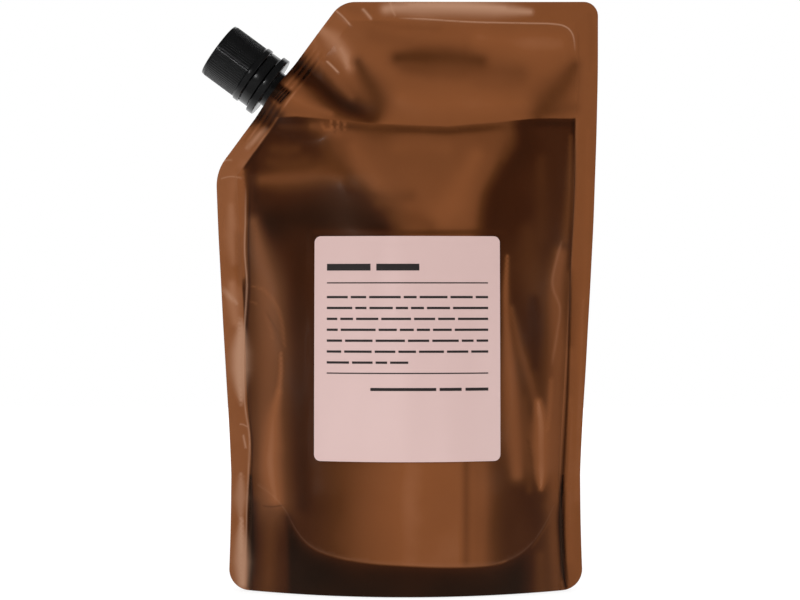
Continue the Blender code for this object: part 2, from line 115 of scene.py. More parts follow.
class Slot(Enum):
    """Material slots of the record."""

    FILM = "amber_film"
    LIQUID = "soap_liquid"
    PLASTIC = "black_plastic"
    PAPER = "pink_paper"


class Face(Enum):
    """The two sides of the pouch; the value is the sign of Y."""

    FRONT = -1
    BACK = 1


class Zone(Enum):
    """Where a group of marks lies on a panel."""

    BODY = "body"
    HEADSPACE = "headspace"
    SEAL = "seal"


class Edge(Enum):
    """How a mark on the film fades out sideways."""

    SOFT = "soft"
    BANDED = "banded"
    FINE = "fine"


@dataclass(frozen=True)
class Mark:
    """Painted light, shade or sheen of a fold, glint or shadow of the film, along a path of (x, z) points in
    millimetres.

    Attributes:
        path: Points of the mark, seen from the front.
        width: Full width in millimetres, or its widths spread evenly from the start to the end.
        light: Painted brightness, light or shade, that the film is pulled towards, 0 black-brown to 1.25 pale
            amber.
        weight: How strongly it pulls, 0 to 1.
        sheen: Share of painted pale sheen, a painted reflection, laid over the colour.
        rise: How far the film stands out there, in millimetres, negative for a dent.
        edge: Sideways fade.
    """

    path: tuple[Point2, ...]
    width: float | tuple[float, ...]
    light: float = 1.0
    weight: float = 0.0
    sheen: float = 0.0
    rise: float = 0.0
    edge: Edge = Edge.SOFT

    def cover(self, x: np.ndarray, z: np.ndarray) -> np.ndarray:
        """How much of the mark lies on each point, 0 to 1.

        Args:
            x: Across, in millimetres.
            z: Height, in millimetres.

        Returns:
            One mask value for each point.
        """
        distance, along = distance_to_path(smooth_path(self.path), x, z)
        widths = np.atleast_1d(self.width)
        width = np.interp(along, np.linspace(0, 1, len(widths)), widths)
        share = 2 * distance / width
        if self.edge is Edge.FINE:
            ends = np.clip(np.minimum(along, 1 - along) / FINE_END, 0, 1)
            return np.exp(-FINE_RATE * share**2) * ends * (2 - ends)
        if self.edge is Edge.BANDED:
            return 1 / (1 + share**BAND_POWER)
        return np.exp(-SOFT_RATE * share**2)


fine = partial(Mark, edge=Edge.FINE)
banded = partial(Mark, edge=Edge.BANDED)


def smooth_path(path: tuple[Point2, ...]) -> np.ndarray:
    """Points of a smooth curve through the points of a path."""
    points = np.array(path, float)
    if len(points) < 3:
        return points
    padded = np.vstack([2 * points[0] - points[1], points, 2 * points[-1] - points[-2]])
    curve = []
    for k in range(len(points) - 1):
        a, b, c, d = padded[k : k + 4]
        squared, cubed = 2 * a - 5 * b + 4 * c - d, 3 * b - a - 3 * c + d
        for step in range(CURVE_STEPS):
            t = step / CURVE_STEPS
            curve.append(0.5 * (2 * b + (c - a) * t + squared * t**2 + cubed * t**3))
    return np.array([*curve, points[-1]])


def distance_to_path(path: np.ndarray, x: np.ndarray, z: np.ndarray) -> tuple[np.ndarray, np.ndarray]:
    """Distance from each point to a path, and how far along the path its nearest place lies.

    Args:
        path: Corner points of the path.
        x: Across.
        z: Height.

    Returns:
        The distances, and the shares of the path's length from 0 to 1.
    """
    lengths = np.hypot(*np.diff(path, axis=0).T)
    starts = np.concatenate([[0.0], np.cumsum(lengths)[:-1]])
    nearest = np.full(len(x), np.inf)
    along = np.zeros(len(x))
    for start, end, length, before in zip(path, path[1:], lengths, starts):
        step = (end - start) / max(length, TINY)
        travel = np.clip((x - start[0]) * step[0] + (z - start[1]) * step[1], 0, length)
        away = np.hypot(x - start[0] - travel * step[0], z - start[1] - travel * step[1])
        closer = away < nearest
        nearest[closer] = away[closer]
        along[closer] = (before + travel[closer]) / lengths.sum()
    return nearest, along


def smoothstep(values: np.ndarray, low: float, high: float) -> np.ndarray:
    """Smooth rise from 0 at low to 1 at high."""
    share = np.clip((values - low) / (high - low), 0, 1)
    return share * share * (3 - 2 * share)


def fade(values: np.ndarray, full: float, gone: float) -> np.ndarray:
    """Smooth fall from 1 at full to 0 at gone."""
    return smoothstep(-values, -gone, -full)


def bell(values: np.ndarray, centre: float, width: float) -> np.ndarray:
    """Soft bump of height 1 round a centre."""
    return np.exp(-(((values - centre) / width) ** 2))


def ripple(x: np.ndarray, z: np.ndarray, size: float, seed: float) -> np.ndarray:
    """Smooth random field between -1 and 1 with features of about the given size."""
    return np.array([noise.noise(Vector((a / size, seed, b / size))) for a, b in zip(x, z)])


@dataclass(frozen=True)
class PouchShape:
    """Form of the filled pouch, by the same rules as the CAD solids. All sizes in metres."""

    flat_width: float = 161.8 * MM
    height: float = 247.4 * MM
    film: float = 0.2 * MM
    layer_gap: float = 0.35 * MM
    bottom_corner: float = 9.0 * MM
    top_corner: float = 6.0 * MM
    side_weld: float = 9.0 * MM
    top_weld: float = 8.0 * MM
    slant_weld: float = 8.2 * MM
    cut_down: float = 71.4 * MM
    cut_in: float = 53.8 * MM
    cut_upper_radius: float = 11.5 * MM
    cut_lower_radius: float = 19.0 * MM
    belly_half_depth: float = 27.0 * MM
    base_tuck: float = 2.0 * MM
    belly_height: float = 48.0 * MM
    taper_power: float = 1.3
    fill_height: float = 196.5 * MM
    soap_clearance: float = 0.5 * MM
    soap_floor_clearance: float = 0.7 * MM
    gusset_fold: float = 41.0 * MM
    skirt_height: float = 11.0 * MM
    skirt_curve_power: float = 4.0
    flat_share: float = 0.35
    fold_sink: float = 1.0 * MM
    fold_margin: float = 1.0 * MM
    layer_step: float = 7.0 * MM
    web_power: float = 2.5
    ridge_power: float = 1.2
    spout_along: float = 42.0 * MM
    boat_half_length: float = 15.5 * MM
    boat_half_width: float = 9.0 * MM
    boat_clearance: float = 0.35 * MM
    boat_drape_length: float = 38.0 * MM
    boat_spread: float = 0.5

    def spine_depth(self, z: np.ndarray) -> np.ndarray:
        """Half-depth of the filled pouch on its middle line."""
        z = np.asarray(z, float)
        rise = self.height - self.top_weld - self.belly_height
        below = np.clip((self.belly_height - z) / self.belly_height, 0, 1)
        above = np.clip((z - self.belly_height) / rise, 0, 1)
        lower = self.belly_half_depth - self.base_tuck * below**2
        return np.where(z < self.belly_height, lower, self.belly_half_depth * (1 - above**self.taper_power))

    def open_half_width(self, z: np.ndarray) -> np.ndarray:
        """Half the width between the side welds."""
        flat = self.flat_width / 2 - self.side_weld
        return (flat + np.sqrt(flat**2 - 8 / 3 * self.spine_depth(z) ** 2)) / 2

    def half_width(self, z: float) -> float:
        """Half the width over the welds."""
        return float(self.open_half_width(z)) + self.side_weld

    @cached_property
    def cut_top(self) -> Vector:
        """Upper end of the slanted edge."""
        return Vector((-self.flat_width / 2 + self.cut_in, self.height))

    @cached_property
    def cut_low(self) -> Vector:
        """Lower end of the slanted edge."""
        z = self.height - self.cut_down
        return Vector((-self.half_width(z), z))

    @cached_property
    def slant(self) -> Vector:
        """Direction up the slanted edge."""
        return (self.cut_top - self.cut_low).normalized()

    @cached_property
    def slant_out(self) -> Vector:
        """Direction out of the slanted edge, along the spout."""
        return Vector((-self.slant.y, self.slant.x))

    @cached_property
    def spout_seat(self) -> Vector:
        """Where the spout's axis meets the slanted edge."""
        return self.cut_low + self.slant * self.spout_along

    def spout_place(self) -> Matrix:
        """Matrix from the spout's own axes (Z outwards, X along the edge) to the pouch's."""
        turn = Matrix(((self.slant.x, 0, self.slant_out.x), (0, 1, 0), (self.slant.y, 0, self.slant_out.y)))
        return Matrix.Translation((self.spout_seat.x, 0, self.spout_seat.y)) @ turn.to_4x4()

    def slant_coordinates(self, x: np.ndarray, z: np.ndarray) -> tuple[np.ndarray, np.ndarray]:
        """Distance along the slanted edge from the spout, and inwards from the edge."""
        dx, dz = x - self.spout_seat.x, z - self.spout_seat.y
        return dx * self.slant.x + dz * self.slant.y, -(dx * self.slant_out.x + dz * self.slant_out.y)

    def slant_place(self, x: np.ndarray, z: np.ndarray) -> tuple[np.ndarray, np.ndarray]:
        """The same two distances, given and returned in millimetres."""
        along, inwards = self.slant_coordinates(x * MM, z * MM)
        return along / MM, inwards / MM

    def open_left(self, z: np.ndarray) -> np.ndarray:
        """X of the inner edge of the left-hand weld, which follows the cut corner."""
        along = (z - self.cut_low.y) * self.slant.x / self.slant.y
        on_slant = self.cut_low.x + along + self.slant_weld / self.slant.y
        return np.maximum(-self.open_half_width(z), on_slant)

    def bulge(self, x: np.ndarray, z: np.ndarray) -> np.ndarray:
        """Half-depth that the filling gives, nothing on the welds."""
        left, right = self.open_left(z), self.open_half_width(z)
        across = (2 * x - left - right) / (right - left)
        return self.spine_depth(z) * np.clip(1 - across**2, 0, 1)

    def boat_width(self, along: np.ndarray, half_length: np.ndarray | float) -> np.ndarray:
        """Half the thickness of the spout's weld boat."""
        share = np.clip(np.abs(along) / half_length, 0, 1)
        return self.boat_half_width * np.cos(math.pi / 2 * share) ** 2

    def boat_drape(self, x: np.ndarray, z: np.ndarray) -> np.ndarray:
        """Half-depth at which the film lies round the boat and falls away from it."""
        along, inwards = self.slant_coordinates(x, z)
        past = np.clip((inwards - self.slant_weld) / self.boat_drape_length, 0, 1)
        half_length = self.boat_half_length * (1 + self.boat_spread * past)
        return self.boat_width(along, half_length) * np.cos(math.pi / 2 * past) ** 2

    def inner_depth(self, x: np.ndarray, z: np.ndarray) -> np.ndarray:
        """Half-depth of the smooth inner face of a film panel."""
        boat = self.boat_drape(x, z)
        held = boat + self.boat_clearance * np.clip(boat / MM, 0, 1)
        form = (self.bulge(x, z) ** 4 + held**4) ** 0.25
        ramp = np.clip((self.gusset_fold + self.fold_margin + self.layer_step - z) / self.layer_step, 0, 1)
        return form + self.layer_gap / 2 + (self.film + self.layer_gap) * ramp

    def skirt_top(self, share: float) -> float:
        """Height at which the gusset leaves a panel."""
        rise = self.gusset_fold - self.skirt_height
        return self.skirt_height + rise * abs(share) ** self.skirt_curve_power

    def fold_line(self, share: float) -> float:
        """Height of the gusset's middle fold."""
        away = min(1.0, (1 - abs(share)) / (1 - self.flat_share))
        raised = (self.gusset_fold + self.fold_sink) * math.cos(math.pi / 2 * away) ** self.ridge_power
        return raised - self.fold_sink

    def web_height(self, share: float, part: float) -> float:
        """Height of the gusset's underside, part 0 on its fold and 1 where it meets a panel."""
        fold, weld = self.fold_line(share), self.skirt_top(share)
        return max(0.0, fold + (weld - fold) * abs(part) ** self.web_power)

    def weld_depth(self, x: np.ndarray, z: np.ndarray) -> np.ndarray:
        """Distance into the welded margin from its inner edge, negative inside the pouch."""
        right = x - self.open_half_width(z)
        left = -self.open_half_width(z) - x
        top = z - (self.height - self.top_weld)
        _, inwards = self.slant_coordinates(x, z)
        return np.maximum.reduce([right, left, top, self.slant_weld - inwards])

    def side_points(
        self, sign: int, low: float, high: float, spacing: float, inset: float = 0.0
    ) -> list[Vector]:
        """Points up a side, strictly between two heights.

        Args:
            sign: 1 for the right-hand side, -1 for the left.
            low: Lower height.
            high: Upper height.
            spacing: Distance between the points.
            inset: How far inside the edge they lie.

        Returns:
            The points.
        """
        count = max(1, math.ceil((high - low) / spacing))
        heights = [low + (high - low) * k / count for k in range(1, count)]
        return [Vector((sign * (self.half_width(z) - inset), z)) for z in heights]

    def outline(self, spacing: float) -> list[Vector]:
        """Closed outline of a panel, anticlockwise from the bottom left.

        Args:
            spacing: Distance between its points.

        Returns:
            The points, without a repeat of the first.
        """
        foot = self.half_width(self.bottom_corner)
        left_foot, right_foot = Vector((-foot, 0)), Vector((foot, 0))
        top_right = Vector((self.flat_width / 2, self.height))
        up = Vector((0, 1))
        foot_left = fillet(left_foot + up, left_foot, right_foot, self.bottom_corner, ARC_STEPS)
        foot_right = fillet(left_foot, right_foot, right_foot + up, self.bottom_corner, ARC_STEPS)
        shoulder = fillet(top_right - up, top_right, self.cut_top, self.top_corner, SHOULDER_STEPS)
        cut_upper = fillet(top_right, self.cut_top, self.cut_low, self.cut_upper_radius, ARC_STEPS)
        under = self.cut_low.y - self.cut_lower_radius
        below = Vector((-self.half_width(under), under))
        cut_lower = fillet(self.cut_top, self.cut_low, below, self.cut_lower_radius, ARC_STEPS)
        return [
            *foot_left,
            *stretch(foot_left[-1], foot_right[0], spacing),
            *foot_right,
            *self.side_points(1, foot_right[-1].y, shoulder[0].y, spacing),
            *shoulder,
            *stretch(shoulder[-1], cut_upper[0], spacing),
            *cut_upper,
            *stretch(cut_upper[-1], cut_lower[0], spacing / 2),
            *cut_lower,
            *reversed(self.side_points(-1, foot_left[0].y, cut_lower[-1].y, spacing)),
        ]

    def weld_line(self, spacing: float) -> list[Vector]:
        """Inner edge of the side, slanted and top welds, up the left and down the right."""
        low = self.bottom_corner / 2
        top = self.height - self.top_weld
        inner_low = self.cut_low - self.slant_out * self.slant_weld
        offset = -float(self.open_half_width(self.cut_low.y)) - inner_low.x
        corner_z = inner_low.y + offset * self.slant.y / self.slant.x
        corner = Vector((-float(self.open_half_width(corner_z)), corner_z))
        upper = inner_low + self.slant * (top - inner_low.y) / self.slant.y
        right_top = Vector((float(self.open_half_width(top)), top))
        return [
            Vector((-float(self.open_half_width(low)), low)),
            *self.side_points(-1, low, corner_z, spacing, self.side_weld),
            corner,
            *stretch(corner, upper, spacing / 2),
            upper,
            *stretch(upper, right_top, spacing),
            right_top,
            *reversed(self.side_points(1, low, top, spacing, self.side_weld)),
            Vector((float(self.open_half_width(low)), low)),
        ]


def fillet(before: Vector, corner: Vector, after: Vector, radius: float, steps: int) -> list[Vector]:
    """Points of an arc that rounds a corner."""
    to_before, to_after = (before - corner).normalized(), (after - corner).normalized()
    half_angle = to_before.angle(to_after) / 2
    centre = corner + (to_before + to_after).normalized() * radius / math.sin(half_angle)
    start = corner + to_before * radius / math.tan(half_angle) - centre
    turn = -start.angle_signed(corner + to_after * radius / math.tan(half_angle) - centre)
    return [centre + Matrix.Rotation(turn * k / steps, 2) @ start for k in range(steps + 1)]


def stretch(start: Vector, end: Vector, spacing: float) -> list[Vector]:
    """Points strictly between two ends, evenly spaced."""
    count = max(1, math.ceil((end - start).length / spacing))
    return [start.lerp(end, k / count) for k in range(1, count)]


def inside(points: np.ndarray, outline: np.ndarray) -> np.ndarray:
    """Which points lie inside a closed outline, by counting the edges to their right."""
    crossings = np.zeros(len(points), int)
    for a, b in zip(outline, np.roll(outline, -1, axis=0)):
        spans = (a[1] > points[:, 1]) != (b[1] > points[:, 1])
        rise = b[1] - a[1] if b[1] != a[1] else 1.0
        crossings += spans & (points[:, 0] < a[0] + (points[:, 1] - a[1]) * (b[0] - a[0]) / rise)
    return crossings % 2 == 1


def lattice(low: np.ndarray, high: np.ndarray, spacing: float) -> np.ndarray:
    """Points of a triangular lattice over a rectangle."""
    rows = np.arange(low[1], high[1], spacing * math.sqrt(3) / 2)
    columns = np.arange(low[0], high[0], spacing)
    return np.array([(x + spacing / 2 * (k % 2), z) for k, z in enumerate(rows) for x in columns])


def clear_of(points: np.ndarray, fixed: np.ndarray, distance: float) -> np.ndarray:
    """The points that keep a distance from every fixed point."""
    tree = kdtree.KDTree(len(fixed))
    for index, place in enumerate(fixed):
        tree.insert((place[0], place[1], 0), index)
    tree.balance()
    kept = [p for p in points if tree.find((p[0], p[1], 0))[2] > distance]
    return np.array(kept)


def path_rows(path: np.ndarray, half_width: float, spacing: float) -> np.ndarray:
    """Rows of points along a path, on it and to both sides, that let a thin line show on the mesh."""
    rows = []
    for start, end in zip(path, path[1:]):
        length = float(np.hypot(*(end - start)))
        side = np.array([-(end - start)[1], (end - start)[0]]) / max(length, TINY)
        count = max(1, round(length / spacing))
        for k in range(count):
            place = start + (end - start) * k / count
            rows += [place + side * half_width * offset for offset in (-1, -0.5, 0, 0.5, 1)]
    return np.array(rows)


def cut_sheet(
    outline: list[Vector], crease: list[Vector], extra: np.ndarray, spacing: float
) -> tuple[np.ndarray, Faces]:
    """Flat triangulated sheet with edges along its outline and crease.

    Args:
        outline: Closed outline, in metres.
        crease: Open line inside it, in metres, or an empty list.
        extra: More points for thin lines, in metres.
        spacing: Distance between the points of the open areas.

    Returns:
        The sheet's points and triangles.
    """
    border = np.array([tuple(p) for p in outline])
    fixed = np.array([tuple(p) for p in (*outline, *crease)])
    if len(extra):
        extra = extra[inside(extra, border)]
        extra = clear_of(extra, fixed, spacing * FINE_ROOM)
        fixed = np.vstack([fixed, extra])
    loose = lattice(border.min(0), border.max(0), spacing)
    loose = clear_of(loose[inside(loose, border)], fixed, spacing * OPEN_ROOM)
    count = len(outline)
    edges = [(k, (k + 1) % count) for k in range(count)]
    edges += [(count + k, count + k + 1) for k in range(len(crease) - 1)]
    scaled = [Vector(p) / MM for p in np.vstack([fixed, loose])]
    flat, _, faces, *_ = geometry.delaunay_2d_cdt(scaled, edges, [], 1, DELAUNAY_TOLERANCE)
    return np.array([tuple(p) for p in flat]) * MM, [tuple(f) for f in faces]


def new_piece(
    name: str,
    points: list | np.ndarray,
    faces: Faces,
    material: bpy.types.Material,
    recalculate: bool = False,
) -> bpy.types.Object:
    """Smooth mesh object at the origin.

    Args:
        name: Piece name.
        points: Mesh points in metres.
        faces: Faces as point indices.
        material: Its finish.
        recalculate: Turn the faces of a closed shell outwards.

    Returns:
        The new object.
    """
    mesh = bpy.data.meshes.new(name)
    mesh.from_pydata([tuple(p) for p in points], [], faces)
    if recalculate:
        shape = bmesh.new()
        shape.from_mesh(mesh)
        bmesh.ops.recalc_face_normals(shape, faces=shape.faces)
        shape.to_mesh(mesh)
        shape.free()
    mesh.shade_smooth()
    mesh.set_sharp_from_angle(angle=SHARP_ANGLE)
    mesh.materials.append(material)
    piece = bpy.data.objects.new(name, mesh)
    bpy.context.scene.collection.objects.link(piece)
    return piece


def make_real(piece: bpy.types.Object) -> None:
    """Replaces a piece's mesh by what its modifiers make of it, and removes them."""
    graph = bpy.context.evaluated_depsgraph_get()
    mesh = bpy.data.meshes.new_from_object(piece.evaluated_get(graph))
    piece.modifiers.clear()
    mesh.name = piece.name
    mesh.shade_smooth()
    mesh.set_sharp_from_angle(angle=SHARP_ANGLE)
    piece.data = mesh


def thicken(piece: bpy.types.Object, thickness: float) -> bpy.types.Object:
    """Gives a sheet its thickness on the side that its faces point to."""
    solid = piece.modifiers.new("Film", "SOLIDIFY")
    solid.thickness = thickness
    solid.offset = 1.0
    solid.use_even_offset = True
    solid.use_quality_normals = True
    make_real(piece)
    return piece


def store_mask(piece: bpy.types.Object, name: str, values: np.ndarray) -> None:
    """Keeps one number for each mesh point, for a material to read."""
    layer = piece.data.attributes.new(name, "FLOAT", "POINT")
    layer.data.foreach_set("value", np.asarray(values, np.float32))


def loft(rings: list[list[Vector]], closed: bool = False) -> Skin:
    """Skin over rings of as many points each.

    Args:
        rings: The rings in order.
        closed: Joins the last ring to the first, and otherwise both ends are capped.

    Returns:
        Points and faces.
    """
    count = len(rings[0])
    points = [p for ring in rings for p in ring]
    faces: Faces = []
    for i in range(len(rings) if closed else len(rings) - 1):
        low, high = i * count, (i + 1) % len(rings) * count
        faces += [(low + k, low + (k + 1) % count, high + (k + 1) % count, high + k) for k in range(count)]
    if not closed:
        faces.append(tuple(reversed(range(count))))
        faces.append(tuple(len(points) - count + k for k in range(count)))
    return points, faces


def circle(radius: float, height: float, sides: int) -> list[Vector]:
    """Ring of points round the local Z axis."""
    angles = [2 * math.pi * k / sides for k in range(sides)]
    return [Vector((radius * math.cos(a), radius * math.sin(a), height)) for a in angles]


def rounded(profile: Profile, radius: float, steps: int = 4) -> Profile:
    """Rounds the inner corners of an open (radius, height) profile."""
    points = [Vector(p) for p in profile]
    result = [points[0]]
    for before, corner, after in zip(points, points[1:], points[2:]):
        straight = (before - corner).angle(after - corner, math.pi)
        room = min((before - corner).length, (after - corner).length) * CORNER_ROOM
        reach = min(radius, room * math.tan(straight / 2))
        if straight > FLAT_ANGLE or reach < 0.001 * MM:
            result.append(corner)
        else:
            result += fillet(before, corner, after, reach, steps)
    return [tuple(p) for p in (*result, points[-1])]


def turned(profile: Profile, sides: int) -> Skin:
    """Solid of revolution from a profile that starts and ends on the axis, or that is a closed loop.

    Args:
        profile: (radius, height) points in order.
        sides: Points round the axis.

    Returns:
        Points and faces.
    """
    if profile[0][0] > 0:
        return loft([circle(r, h, sides) for r, h in profile], closed=True)
    rings = [circle(r, h, sides) for r, h in profile[1:-1]]
    points, faces = loft(rings)
    faces = faces[:-2]
    first, last = len(points), len(points) + 1
    points += [Vector((0, 0, profile[0][1])), Vector((0, 0, profile[-1][1]))]
    top = (len(rings) - 1) * sides
    faces += [(first, (k + 1) % sides, k) for k in range(sides)]
    faces += [(last, top + k, top + (k + 1) % sides) for k in range(sides)]
    return points, faces


class NodeBench:
    """Small helper that places and links nodes in a tree."""

    def __init__(self, tree: bpy.types.NodeTree) -> None:
        """Starts on a tree."""
        self.tree = tree

    def feed(self, socket: bpy.types.NodeSocket, value: object) -> None:
        """Links an input to another node's output, or gives it a value of its own."""
        if isinstance(value, bpy.types.NodeSocket):
            self.tree.links.new(value, socket)
        else:
            socket.default_value = value

    def add(self, kind: str, inputs: dict | None = None, **settings: object) -> bpy.types.Node:
        """Adds a node.

        Args:
            kind: Node type.
            inputs: For each input, by name or number, a value or another node's output socket.
            **settings: Properties of the node.

        Returns:
            The new node.
        """
        node = self.tree.nodes.new(kind)
        for name, value in settings.items():
            setattr(node, name, value)
        for key, value in (inputs or {}).items():
            self.feed(node.inputs[key], value)
        return node

    def math(self, operation: str, *values: object) -> bpy.types.NodeSocket:
        """Output of a math node."""
        return self.add("ShaderNodeMath", dict(enumerate(values)), operation=operation).outputs[0]

    def ramp(self, factor: bpy.types.NodeSocket, stops: tuple) -> bpy.types.NodeSocket:
        """Colour output of a ramp, whose stops are given as (position, colour)."""
        node = self.add("ShaderNodeValToRGB", {0: factor})
        band = node.color_ramp
        while len(band.elements) < len(stops):
            band.elements.new(0.5)
        for element, (position, colour) in zip(band.elements, stops):
            element.position = position
            element.color = (*colour, 1.0)
        return node.outputs[0]

    def remap(self, value: object, start: Point2, end: Point2) -> bpy.types.NodeSocket:
        """Output of a clamped map from one range to another."""
        return self.add("ShaderNodeMapRange", dict(enumerate((value, *start, *end)))).outputs[0]

    def mix(self, factor: object, first: object, second: object) -> bpy.types.NodeSocket:
        """Colour output of a colour mix, whose colour inputs have the numbers 6 and 7."""
        return self.add("ShaderNodeMix", {0: factor, 6: first, 7: second}, data_type="RGBA").outputs[2]


class WearGroup:
    """Shader node group of fine unevenness that every finish uses: soft mottling, fine grain and a height."""

    tree: bpy.types.NodeTree | None = None

    @classmethod
    def place(cls, bench: NodeBench, mottle_size: float, grain_size: float, amount: float) -> bpy.types.Node:
        """Adds the group to a material.

        Args:
            bench: The material's nodes.
            mottle_size: Size of the soft mottling, in metres.
            grain_size: Size of the fine grain, in metres.
            amount: How much of the grain goes into the mask.

        Returns:
            The group node, with outputs Mottle, Grain and Height.
        """
        if cls.tree is None:
            cls.tree = cls.build()
        place = bench.add("ShaderNodeTexCoord").outputs["Object"]
        scales = {"Mottle Scale": 1 / mottle_size, "Grain Scale": 1 / grain_size, "Grain Amount": amount}
        return bench.add("ShaderNodeGroup", {"Position": place, **scales}, node_tree=cls.tree)

    @staticmethod
    def build() -> bpy.types.NodeTree:
        """Makes the group's tree."""
        tree = bpy.data.node_groups.new("fine_unevenness", "ShaderNodeTree")
        tree.interface.new_socket("Position", in_out="INPUT", socket_type="NodeSocketVector")
        for name in ("Mottle Scale", "Grain Scale", "Grain Amount"):
            tree.interface.new_socket(name, in_out="INPUT", socket_type="NodeSocketFloat")
        for name in ("Mottle", "Grain", "Height"):
            tree.interface.new_socket(name, in_out="OUTPUT", socket_type="NodeSocketFloat")
        bench = NodeBench(tree)
        given = bench.add("NodeGroupInput").outputs
        masks = {}
        for name, detail in (("Mottle", 3.0), ("Grain", 2.0)):
            inputs = {"Vector": given["Position"], "Scale": given[f"{name} Scale"], "Detail": detail}
            masks[name] = bench.add("ShaderNodeTexNoise", inputs).outputs[0]
        height = bench.math("MULTIPLY_ADD", masks["Grain"], given["Grain Amount"], masks["Mottle"])
        bench.add("NodeGroupOutput", {**masks, "Height": height})
        return tree


@dataclass(frozen=True)
class Finish:
    """A finish whose colour and roughness vary a little over the surface.

    Attributes:
        name: Material name.
        unevenness: Sizes of the mottling and of the grain, in metres, and the grain's share of the height.
        roughness: Least and greatest roughness.
        colours: The two colours that it varies between.
        colour_mask: Which unevenness the colour follows.
        roughness_mask: Which unevenness the roughness follows.
        bump: Strength and height of the bump, the height in metres.
        sockets: Values of the shader's own sockets.
    """

    name: str
    unevenness: tuple[float, float, float]
    roughness: tuple[float, float]
    colours: tuple[tuple, ...] = ()
    colour_mask: str = "Mottle"
    roughness_mask: str = "Mottle"
    bump: tuple[float, float] | None = None
    sockets: tuple[tuple[str, object], ...] = ()

    def pattern(self, bench: NodeBench, wear: bpy.types.Node) -> dict[str, bpy.types.NodeSocket]:
        """What drives the shader's inputs besides roughness and bump.

        Args:
            bench: The material's nodes.
            wear: Its unevenness.

        Returns:
            For each input of the shader, the output that drives it.
        """
        return {"Base Color": bench.mix(wear.outputs[self.colour_mask], *self.colours)}

    def make(self) -> bpy.types.Material:
        """Builds the material."""
        material = bpy.data.materials.new(self.name)
        material.use_nodes = True
        bench = NodeBench(material.node_tree)
        shader = material.node_tree.nodes["Principled BSDF"]
        wear = WearGroup.place(bench, *self.unevenness)
        low, high = self.roughness
        inputs = {**dict(self.sockets), **self.pattern(bench, wear)}
        inputs["Roughness"] = bench.math("MULTIPLY_ADD", wear.outputs[self.roughness_mask], high - low, low)
        if self.bump:
            settings = {"Strength": self.bump[0], "Distance": self.bump[1], "Height": wear.outputs["Height"]}
            inputs["Normal"] = bench.add("ShaderNodeBump", settings).outputs[0]
        for name, value in inputs.items():
            bench.feed(shader.inputs[name], value)
        return material


@dataclass(frozen=True)
class FilmFinish(Finish):
    """Tinted glossy film whose painted light and shade, painted sheen and clearness come from the masks on
    its mesh.
    """

    sheen_colour: tuple = (0.47, 0.26, 0.165, 1.0)
    variation: float = 0.05
    # Colours of the film along its light mask, from the darkest painted shade to the palest painted light
    tones: tuple = (
        (0.0, (0.006, 0.0015, 0.0005)),
        (0.2, (0.039, 0.0085, 0.0016)),
        (0.4, (0.08, 0.023, 0.005)),
        (0.6, (0.148, 0.046, 0.0135)),
        (0.8, (0.21, 0.067, 0.0205)),
        (1.0, (0.37, 0.158, 0.078)),
    )

    def pattern(self, bench: NodeBench, wear: bpy.types.Node) -> dict[str, bpy.types.NodeSocket]:
        """Tone, sheen and clearness of the film; see Finish.pattern."""
        light, sheen, clear = (
            bench.add("ShaderNodeAttribute", attribute_name=f"film_{mask}").outputs["Fac"]
            for mask in ("light", "sheen", "alpha")
        )
        uneven = bench.math("SUBTRACT", wear.outputs["Mottle"], 0.5)
        level = bench.math("MULTIPLY_ADD", uneven, self.variation, bench.math("DIVIDE", light, LIGHT_TOP))
        colour = bench.mix(sheen, bench.ramp(level, self.tones), self.sheen_colour)
        return {"Base Color": colour, "Alpha": clear}


@dataclass(frozen=True)
class PaperFinish(Finish):
    """Coated label paper between two colours, darker towards the top, with soft upright bands of painted fold
    shade and a faint fibre. Metres.
    """

    foot: float = 0.056
    head: float = 0.148
    fold_shade_stretch: tuple = (1.0, 1.0, 0.08)
    fold_shade_scale: float = 55.0
    fold_shade_share: float = 1.6
    fibre_share: float = 0.12

    def pattern(self, bench: NodeBench, wear: bpy.types.Node) -> dict[str, bpy.types.NodeSocket]:
        """Colour of the paper; see Finish.pattern."""
        place = bench.add("ShaderNodeTexCoord").outputs["Object"]
        height = bench.add("ShaderNodeSeparateXYZ", {0: place}).outputs["Z"]
        level = bench.remap(height, (self.foot, self.head), (0.0, 1.0))
        # Soft upright bands of painted fold shade
        stretched = bench.add("ShaderNodeVectorMath", {0: place, 1: self.fold_shade_stretch}, operation="MULTIPLY")
        noise_inputs = {"Vector": stretched.outputs[0], "Scale": self.fold_shade_scale, "Detail": 1.0}
        bands = bench.add("ShaderNodeTexNoise", noise_inputs).outputs["Fac"]
        for mask, share in ((bands, self.fold_shade_share), (wear.outputs["Grain"], self.fibre_share)):
            level = bench.math("MULTIPLY_ADD", bench.math("SUBTRACT", mask, 0.5), share, level)
        return {"Base Color": bench.ramp(level, tuple(enumerate(self.colours)))}


FILM_FINISH = FilmFinish(
    "film_amber",
    unevenness=(14 * MM, 1.1 * MM, 0.25),
    roughness=(0.28, 0.4),
    bump=(0.35, 0.05 * MM),
    sockets=(
        ("IOR", 1.46),
        ("Specular IOR Level", 0.32),
        ("Specular Tint", (1.0, 0.66, 0.45, 1.0)),
        ("Coat Weight", 0.04),
        ("Coat Roughness", 0.14),
    ),
)
SOAP_FINISH = Finish(
    "liquid_soap",
    unevenness=(30 * MM, 4 * MM, 0.1),
    roughness=(0.04, 0.1),
    colours=((0.19, 0.066, 0.022, 1.0), (0.1, 0.03, 0.01, 1.0)),
    sockets=(("IOR", 1.36), ("Transmission Weight", 0.35)),
)
PLASTIC_FINISH = Finish(
    "moulded_black",
    unevenness=(5 * MM, 0.35 * MM, 0.5),
    roughness=(0.22, 0.27),
    colours=((0.0034, 0.0034, 0.0036, 1.0), (0.0052, 0.0052, 0.0054, 1.0)),
    roughness_mask="Grain",
    bump=(0.04, 0.01 * MM),
    sockets=(("IOR", 1.5), ("Specular IOR Level", 0.42), ("Coat Weight", 0.35), ("Coat Roughness", 0.2)),
)
